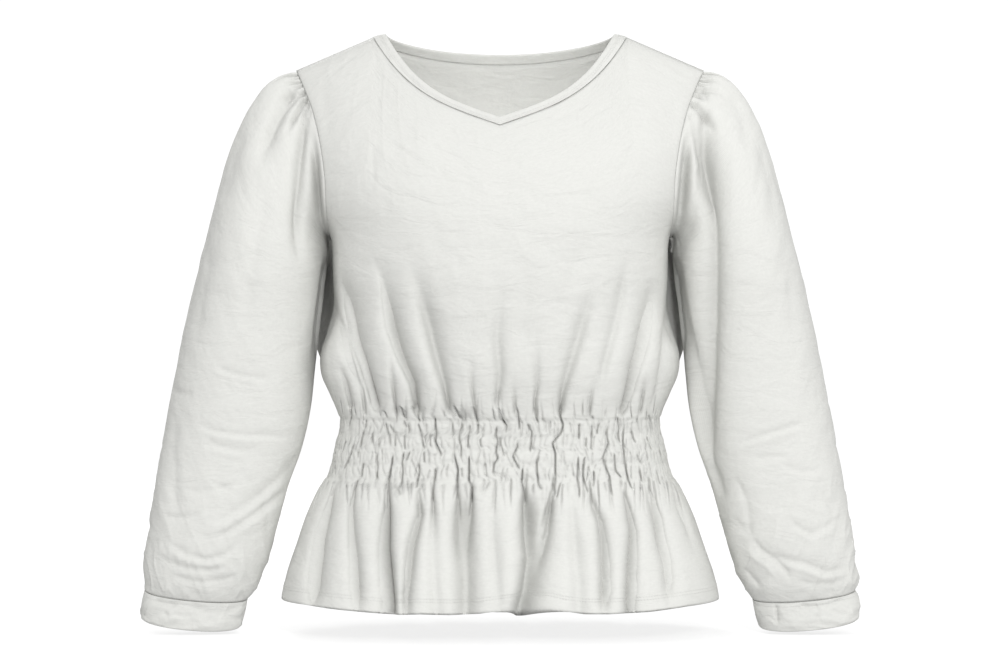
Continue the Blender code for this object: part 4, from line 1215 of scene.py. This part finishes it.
# ================================================================ cuffs and neckband
# Across a doubled band, from its seam to its open edge on the outer face and back on the inner face:
# the share of its width, and how far in it lies, in millimetres.
BAND_PROFILE = (
    (0.000, 0.38), (0.012, 0.17), (0.030, 0.08), (0.060, 0.03), (0.110, 0.00), (0.160, -0.05), (0.220, -0.12),
    (0.290, -0.20), (0.360, -0.26), (0.430, -0.30), (0.500, -0.30), (0.570, -0.28), (0.640, -0.24),
    (0.710, -0.18), (0.780, -0.12), (0.840, -0.06), (0.890, 0.02), (0.930, 0.14), (0.960, 0.34),
    (0.985, 0.75), (1.000, 1.30), (0.985, 1.85), (0.960, 2.25), (0.900, 2.50), (0.760, 2.60),
    (0.560, 2.60), (0.360, 2.60), (0.180, 2.60), (0.060, 2.55), (0.015, 2.20),
)
BAND_SHARES = np.array([share for share, _ in BAND_PROFILE])[:, None]
BAND_INWARD = np.array([inward for _, inward in BAND_PROFILE])[:, None] * MM
# So many of its rows are the outer face, with the open edge as the last.
BAND_OUTER_ROWS = 21
BAND_OUTER = (np.arange(len(BAND_PROFILE)) < BAND_OUTER_ROWS)[:, None]
BAND_RAISE = 0.0005
STITCH_GROOVE = 0.0003
CUFF_STITCH_SHARE = 0.13
CUFF_RIPPLE = 0.0009
CUFF_RIPPLE_SIZE = (0.020, 0.011)
CUFF_RIDGES = 0.0012
CUFF_RIDGE_SIZE = (0.016, 0.009)
CUFF_SEEDS = {"right": 61, "left": 63}
NECK_STITCH_RISES = (0.0055, 0.0075)
NECK_GROOVE_WIDTH = 0.0006
NECKBAND_COLUMNS = 190
NECKBAND_RIPPLE = 0.00022
NECKBAND_RIPPLE_SIZE = (0.016, 0.009)
NECKBAND_SEED = 71
CUFF_CREASES = {
    "right": creases(
        (1.6, 2.0, 3.0, -352, -594, -340, -600, -322, -602, -306, -600),
        (1.2, 2.0, 3.0, -284, -604, -270, -606, -258, -603),
        (2.0, 1.5, 2.0, -357, -586, -346, -589, -336, -590, -328, -589),
        (2.2, 1.5, 2.2, -322, -592, -298, -597, -278, -597, -262, -593),
        (1.1, 2.0, 2.0, -300, -603, -290, -612),
        (1.1, 2.0, 2.0, -345, -598, -338, -606),
    ),
    "left": creases(
        (1.4, 2.0, 3.0, 262, -598, 276, -604, 288, -612),
        (1.2, 2.0, 3.0, 338, -596, 350, -600, 360, -598),
        (2.4, 1.4, 2.4, 283, -588, 284, -600, 285, -612),
        (2.0, 1.5, 2.2, 302, -589, 318, -592, 336, -590, 350, -585, 364, -580),
        (1.1, 2.0, 2.0, 322, -600, 330, -608),
    ),
}
# The rows of a band's plain form, their normals and its own points.
Band = namedtuple("Band", "base normals points")


def make_cuff(side):
    mirror = SIDES[side]
    turns = full_turn()
    z = CUFF[0].z - SEAM_GAP + (CUFF[-1].z - CUFF[0].z + SEAM_GAP) * BAND_SHARES[:, 0]
    slope_y = CUFF_SLOPE_TOP + (CUFF_SLOPE_BOTTOM - CUFF_SLOPE_TOP) * BAND_SHARES
    base = slope(tube_points(CUFF, z, turns, mirror), CUFF, mirror, slope_y, 1.0)
    outward = np.stack([mirror * -np.cos(turns), -np.sin(turns), np.zeros_like(turns)], axis=1)
    tangent = np.roll(base, -1, axis=1) - np.roll(base, 1, axis=1)
    normals = unit(np.cross(tangent, [0.0, 0.0, 1.0]))
    normals = normals * np.sign((normals * outward).sum())
    height = base[..., 2]
    arc = np.cumsum(lengths_round(base), axis=1)
    dent = press(CUFF_CREASES[side], WRINKLE, base[..., 0], height) * ease(-normals[..., 1], 0.05, 0.3)
    seed = CUFF_SEEDS[side]
    wrap = ease(np.minimum(turns, 2 * math.pi - turns), 0, 0.2)
    dent = dent + CUFF_RIPPLE * ripple(arc, height, *CUFF_RIPPLE_SIZE, seed) * wrap
    dent = dent - CUFF_RIDGES * ridges(arc + 0.6 * height, height, *CUFF_RIDGE_SIZE, seed + 1) * wrap
    inside = ease(BAND_SHARES, 0.0, 0.12) * (1 - ease(BAND_SHARES, 0.9, 1.0))
    amount = BAND_INWARD + dent * inside * np.where(BAND_OUTER, 1.0, 0.3)
    amount = amount + STITCH_GROOVE * bell(BAND_SHARES - CUFF_STITCH_SHARE, 0.03) * BAND_OUTER
    return Band(base=base, normals=normals, points=base - normals * amount[..., None])


def make_neckband(panels):
    lines = []
    for facing, sign in FACINGS.items():
        panel = panels[facing]
        share = np.linspace(-1, 1, RASTER_COLUMNS + 1)
        across = NECK_SHARE[facing] * np.linspace(-1, 1, NECKBAND_COLUMNS)
        seam = read_line(across, share, panel.raster[-1])
        normals = read_line(across, share, panel.raster_normals[-1])
        open_x = seam[:, 0] * NECK_HALF_WIDTH / BAND_HALF_WIDTH
        open_z = neck_edge_z(open_x, facing)
        opened = np.stack([open_x, sign * torso_depth(open_x, open_z, facing), open_z], axis=1)
        for line in (seam, opened):
            line[[0, -1], 1] = 0.0
        order = slice(None) if facing == "front" else slice(-2, 0, -1)
        lines.append((seam[order], opened[order], normals[order]))
    seam, opened, normals = [np.concatenate(parts) for parts in zip(*lines)]
    for _ in range(10):
        normals = unit(np.roll(normals, 1, axis=0) + 2 * normals + np.roll(normals, -1, axis=0))
    across = unit(opened - seam)
    normals = unit(normals - across * (normals * across).sum(axis=1, keepdims=True))
    seam = seam + across * SEAM_GAP
    base = seam + (opened - seam) * BAND_SHARES[..., None] + normals * BAND_RAISE
    from_open = (1 - BAND_SHARES) * np.linalg.norm(opened - seam, axis=1)
    grooves = sum(bell(from_open - rise, NECK_GROOVE_WIDTH) for rise in NECK_STITCH_RISES)
    arc = np.cumsum(lengths_round(seam[None]), axis=1) + 0 * BAND_SHARES
    soft = NECKBAND_RIPPLE * ripple(arc, from_open, *NECKBAND_RIPPLE_SIZE, NECKBAND_SEED)
    inside = ease(BAND_SHARES, 0.02, 0.15) * (1 - ease(BAND_SHARES, 0.9, 1.0))
    amount = BAND_INWARD + (STITCH_GROOVE * grooves + soft) * BAND_OUTER * inside
    normals = np.broadcast_to(normals, base.shape)
    return Band(base=base, normals=normals, points=base - normals * amount[..., None])


def band_mesh(name, band, material):
    """A doubled band as a closed ring with its own round edges."""
    rows, columns = band.points.shape[:2]
    index = grid_index(rows, columns, True)
    index = np.concatenate([index, index[:1]])
    u = np.broadcast_to(np.cumsum(lengths_round(band.base).mean(axis=0)), (rows, columns))
    flat = flat_tube(u, from_start(lengths_along(band.points, 0).mean(axis=1)))
    return add_closed(name, band.points.reshape(-1, 3), [grid_faces(index)], flat, material)


# ================================================================ stitches
STITCH_PITCH = 0.0031
STITCH_LENGTH = 0.0023
STITCH_RADIUS = 0.00032
STITCH_SIDES = 6
STITCH_STEP = 0.0008
# Along a stitch: the share of its length from its middle, and of its radius.
CAPSULE = ((-0.5, 0.35), (-0.38, 0.85), (0.0, 1.0), (0.38, 0.85), (0.5, 0.35))


def stitch_mesh(name, lines, material):
    """Rows of short stitches lying on the cloth. Each line is its points and their normals."""
    vertices = []
    angles = (2 * math.pi * np.arange(STITCH_SIDES) / STITCH_SIDES)[None, :, None]
    for points, normals in lines:
        along = from_start(lengths_along(points, 0))
        marks = np.arange(STITCH_PITCH / 2, along[-1], STITCH_PITCH)
        centre = read_line(marks, along, points)
        before, after = (read_line(marks + step, along, points) for step in (-STITCH_STEP, STITCH_STEP))
        forward = unit(after - before)
        aside = unit(np.cross(forward, unit(read_line(marks, along, normals))))
        up = np.cross(aside, forward)
        across = aside[:, None] * np.cos(angles) + up[:, None] * np.sin(angles)
        rings = []
        for place, wide in CAPSULE:
            middle = centre + forward * (place * STITCH_LENGTH)
            rings.append(middle[:, None] + across * (wide * STITCH_RADIUS))
        vertices.append(np.stack(rings, axis=1).reshape(-1, 3))
    vertices = np.concatenate(vertices)
    each = STITCH_SIDES * len(CAPSULE)
    index = grid_index(len(CAPSULE), STITCH_SIDES, True)
    ends = np.array([index[0, :STITCH_SIDES][::-1], index[-1, :STITCH_SIDES]])
    shift = each * np.arange(len(vertices) // each)[:, None, None]
    blocks = [(grid_faces(index) + shift).reshape(-1, 4), (ends + shift).reshape(-1, STITCH_SIDES)]
    return add_mesh(name, vertices, blocks, vertices[:, [0, 2]], material)


def row_line(panel, height):
    """The line round a panel at this height of its plain form, with its normals."""
    z = panel.form[:, 0, 2]
    above = int(np.searchsorted(z, height))
    t = (height - z[above - 1]) / (z[above] - z[above - 1])
    points = panel.points[above - 1] * (1 - t) + panel.points[above] * t
    return points, panel.normals[above]


def band_line(band, share):
    """The line round a band's outer face at this share of its width, or at one share per column."""
    shares = BAND_SHARES[:BAND_OUTER_ROWS, 0]
    share = np.broadcast_to(share, (band.points.shape[1],))
    above = np.clip(np.searchsorted(shares, share), 1, len(shares) - 1)
    t = ((share - shares[above - 1]) / (shares[above] - shares[above - 1]))[:, None]
    column = np.arange(len(share))
    points = band.points[above - 1, column] * (1 - t) + band.points[above, column] * t
    normals = band.normals[0]
    return np.concatenate([points, points[:1]]), np.concatenate([normals, normals[:1]])


# ================================================================ the jersey's material
CLOTH_COLOUR = (0.700, 0.702, 0.674)
THREAD_COLOUR = (0.74, 0.740, 0.715)
# The cloth's two shades, as shares of its colour, and their places in the noise.
SHADES = (0.955, 1.035)
SHADE_PLACES = (0.33, 0.67)
WALE = 0.0011
COURSE = WALE * 0.8
# The wave texture's scale for one line a metre.
ONE_A_METRE = 0.314
MOTTLE_SCALE = 260.0
SLUB_SCALE = 120.0
SLUB_STRETCH = 5.0
CREASING_SCALE = 26.0
CREASING_STRETCH = 2.2
CREASING_DEPTH = 0.0035
KNIT_STRENGTH = 0.45
KNIT_DEPTH = 0.00018
# Painted shade in folds: rays cast, how far they reach, the range from deep to open, and the colour's share
# where deepest.
PAINTED_SHADE_SAMPLES = 4
PAINTED_SHADE_REACH = 0.030
PAINTED_SHADE_RANGE = (0.40, 0.97)
PAINTED_SHADE_DEEPEST = 0.76
WHITE = (1.0, 1.0, 1.0, 1.0)


def set_inputs(tree, node, inputs):
    """Give a node its inputs by name or number. Each is a value, or another node's output to link."""
    for name, value in inputs.items():
        if isinstance(value, bpy.types.NodeSocket):
            tree.links.new(value, node.inputs[name])
        else:
            node.inputs[name].default_value = value


def add_node(tree, kind, output, inputs, **settings):
    """The named output of a new node with these inputs and settings."""
    node = tree.nodes.new("ShaderNode" + kind)
    for name, value in settings.items():
        setattr(node, name, value)
    set_inputs(tree, node, inputs)
    return node.outputs[output]


def new_material(name, inputs):
    """A material and its shader, which has these inputs set."""
    material = bpy.data.materials.new(name)
    material.use_nodes = True
    shader = material.node_tree.nodes["Principled BSDF"]
    set_inputs(material.node_tree, shader, inputs)
    return material, shader


def noise(tree, vector, scale, detail, roughness, distortion=0.0):
    inputs = {"Vector": vector, "Scale": scale, "Detail": detail, "Roughness": roughness}
    inputs["Distortion"] = distortion
    return add_node(tree, "TexNoise", "Fac", inputs)


def knit_lines(tree, vector, direction, pitch, distortion, detail_scale):
    inputs = {"Vector": vector, "Scale": ONE_A_METRE / pitch, "Distortion": distortion, "Detail": 1.0}
    inputs["Detail Scale"] = detail_scale
    return add_node(tree, "TexWave", "Fac", inputs, wave_type="BANDS", bands_direction=direction)


def weighted(tree, value, weight, rest):
    """The value by its weight, added to the rest."""
    return add_node(tree, "Math", "Value", {0: value, 1: weight, 2: rest}, operation="MULTIPLY_ADD")


def jersey(name, colour, rib, creased):
    """Fine light knit: wales and courses as a shallow bump, faint uneven colour, soft sheen, and painted
    shade that darkens its colour deep in folds.
    """
    inputs = {"Roughness": 0.92, "Specular IOR Level": 0.15, "Sheen Weight": 0.06, "Sheen Roughness": 0.6}
    material, shader = new_material(name, inputs)
    tree = material.node_tree
    place = add_node(tree, "UVMap", "UV", {}, uv_map="flat")
    wales = knit_lines(tree, place, "X", WALE * rib, 1.2, 2.0)
    courses = knit_lines(tree, place, "Y", COURSE, 1.6, 1.0)
    knit = weighted(tree, courses, 0.45, wales)

    mottle = noise(tree, place, MOTTLE_SCALE, 4.0, 0.65)
    streaks = add_node(tree, "Mapping", "Vector", {"Vector": place, "Scale": (1.0, SLUB_STRETCH, 1.0)})
    slubs = noise(tree, streaks, SLUB_SCALE, 5.0, 0.7)
    halved = add_node(tree, "Math", "Value", {0: mottle, 1: 0.5}, operation="MULTIPLY")
    uneven = weighted(tree, slubs, 0.5, halved)
    shades = add_node(tree, "ValToRGB", "Color", {"Fac": uneven})
    for element, position, shade in zip(shades.node.color_ramp.elements, SHADE_PLACES, SHADES):
        element.position = position
        element.color = [min(value * shade, 1.0) for value in colour] + [1.0]

    # Painted shade: the colour is darkened where the cloth lies deep in a fold, standing in for the fold's
    # own shade.
    hollow = add_node(tree, "AmbientOcclusion", "AO", {"Distance": PAINTED_SHADE_REACH}, samples=PAINTED_SHADE_SAMPLES)
    dark, open_cloth = PAINTED_SHADE_RANGE
    painted_shade = {"Value": hollow, "From Min": dark, "From Max": open_cloth, "To Min": PAINTED_SHADE_DEEPEST}
    painted_shade = add_node(tree, "MapRange", "Result", painted_shade)
    shaded = add_node(tree, "VectorMath", "Vector", {0: shades, "Scale": painted_shade}, operation="SCALE")

    fuzz = weighted(tree, mottle, 0.8, knit)
    stretch = add_node(tree, "Mapping", "Vector", {"Vector": place, "Scale": (1.0, CREASING_STRETCH, 1.0)})
    creasing = noise(tree, stretch, CREASING_SCALE, 3.0, 0.55, 0.6)
    wrinkled = {"Strength": creased, "Distance": CREASING_DEPTH, "Height": creasing}
    wrinkled = add_node(tree, "Bump", "Normal", wrinkled)
    bump = {"Strength": KNIT_STRENGTH, "Distance": KNIT_DEPTH, "Height": fuzz, "Normal": wrinkled}
    bump = add_node(tree, "Bump", "Normal", bump)
    set_inputs(tree, shader, {"Base Color": shaded, "Normal": bump})
    return material


# ================================================================ building the top
body_cloth = jersey("jersey", CLOTH_COLOUR, 1.0, 0.6)
band_cloth = jersey("jersey_band", CLOTH_COLOUR, 1.0, 0.8)
thread = jersey("thread", THREAD_COLOUR, 0.5, 0.0)

panels = {facing: make_panel(facing) for facing in FACINGS}
sleeves = {side: make_sleeve(side, panels) for side in SIDES}
cuffs = {side: make_cuff(side) for side in SIDES}
neckband = make_neckband(panels)

made = {facing: panel_mesh("cloth_" + facing, panels[facing], body_cloth) for facing in panels}
for side in sleeves:
    made["sleeve_" + side] = tube_mesh("cloth_sleeve_" + side, *sleeves[side], body_cloth)
    made["cuff_" + side] = band_mesh("cloth_cuff_" + side, cuffs[side], band_cloth)
made["neckband"] = band_mesh("cloth_neckband", neckband, band_cloth)

hem_lines = [row_line(panels[facing], HEM_Z + rise) for facing in panels for rise in HEM_STITCH_RISES]
band_width = np.linalg.norm(neckband.base[BAND_OUTER_ROWS - 1] - neckband.base[0], axis=1)
neck_lines = [band_line(neckband, 1 - rise / band_width) for rise in NECK_STITCH_RISES]
cuff_lines = [band_line(cuffs[side], CUFF_STITCH_SHARE) for side in cuffs]
stitches = [
    stitch_mesh("stitches_hem", hem_lines, thread),
    stitch_mesh("stitches_neckband", neck_lines, thread),
    stitch_mesh("stitches_cuffs", cuff_lines, thread),
]
for node, piece in made.items():
    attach(piece, "root")
    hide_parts(node)
for piece in stitches:
    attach(piece, "root")

# ================================================================ floor, light and camera
WORLD_DIM = 0.36
WORLD_BRIGHT = 1.18
WORLD_FALLOFF = 2.0
# The way to the brightest part of the studio.
WORLD_TOWARDS = (0.20, -0.88, 0.42)
FLOOR_Z = -0.6215
FLOOR_REACH = 30.0
FLOOR_SHADE = (0.28, 0.28, 0.28, 1.0)
FLOOR_GLOW = 0.78
WALL_Y = 4.9
WALL_TOP = 4.5
SWEEP_CURVE = 1.2
sweep_rows = [(y, FLOOR_Z) for y in np.linspace(-FLOOR_REACH, WALL_Y - SWEEP_CURVE, 12)]
for turn in np.linspace(0, math.pi / 2, 13)[1:]:
    away = WALL_Y - SWEEP_CURVE + SWEEP_CURVE * math.sin(turn)
    sweep_rows.append((away, FLOOR_Z + SWEEP_CURVE * (1 - math.cos(turn))))
sweep_rows.append((WALL_Y, WALL_TOP))
sweep_x = np.linspace(-FLOOR_REACH, FLOOR_REACH, 9)
sweep_points = np.array([[(x, y, z) for x in sweep_x] for y, z in sweep_rows])
floor_inputs = {"Base Color": FLOOR_SHADE, "Roughness": 0.9, "Specular IOR Level": 0.1}
floor_inputs |= {"Emission Color": WHITE, "Emission Strength": FLOOR_GLOW}
pale_floor, _ = new_material("pale_floor", floor_inputs)
sweep_faces = grid_faces(grid_index(*sweep_points.shape[:2]))
sweep_points = sweep_points.reshape(-1, 3)
sweep = add_mesh("sweep", sweep_points, [sweep_faces], sweep_points[:, :2], pale_floor)
# The sweep is lit but doesn't throw its own light back on to the cloth.
sweep.visible_diffuse = False
sweep.visible_glossy = False
sweep.visible_shadow = False

# The studio's light comes from everywhere, and most of it from the front and above.
world = bpy.data.worlds.new("studio")
bpy.context.scene.world = world
world.use_nodes = True
sky = world.node_tree
direction = add_node(sky, "TexCoord", "Generated", {})
towards = {0: direction, 1: unit(np.array(WORLD_TOWARDS))}
towards = add_node(sky, "VectorMath", "Value", towards, operation="DOT_PRODUCT")
towards = add_node(sky, "MapRange", "Result", {"Value": towards, "From Min": -1.0})
falloff = add_node(sky, "Math", "Value", {0: towards, 1: WORLD_FALLOFF}, operation="POWER")
brightness = {"Value": falloff, "To Min": WORLD_DIM, "To Max": WORLD_BRIGHT}
brightness = add_node(sky, "MapRange", "Result", brightness)
set_inputs(sky, sky.nodes["Background"], {"Color": WHITE, "Strength": brightness})


def soft_light(name, place, towards, size, power):
    """A round light that faces a point."""
    data = bpy.data.lights.new(name, "AREA")
    data.shape = "DISK"
    data.size = size
    data.energy = power
    light = link(name, data)
    light.location = place
    direction = np.array(towards) - np.array(place)
    yaw = math.atan2(direction[0], -direction[1])
    pitch = math.atan2(math.hypot(direction[0], direction[1]), -direction[2])
    light.rotation_euler = (pitch, 0.0, yaw + math.pi)


soft_light("key", (0.75, -3.2, 1.15), (0.0, 0.0, -0.30), 0.9, 42)
soft_light("behind", (-0.9, 2.7, 1.3), (0.0, 0.0, -0.30), 1.4, 50)
soft_light("inside", (0.0, -0.03, -0.20), (0.0, 0.10, -0.05), 0.12, 0.15)

camera_data = bpy.data.cameras.new("camera")
camera_data.lens = 99.4
camera_data.sensor_width = 36.0
camera = link("camera", camera_data)
camera.location = (0.0042, -2.9, -0.3146)
camera.rotation_euler = (math.pi / 2, 0.0, 0.0)
bpy.context.scene.camera = camera
bpy.context.scene.view_settings.view_transform = "Standard"
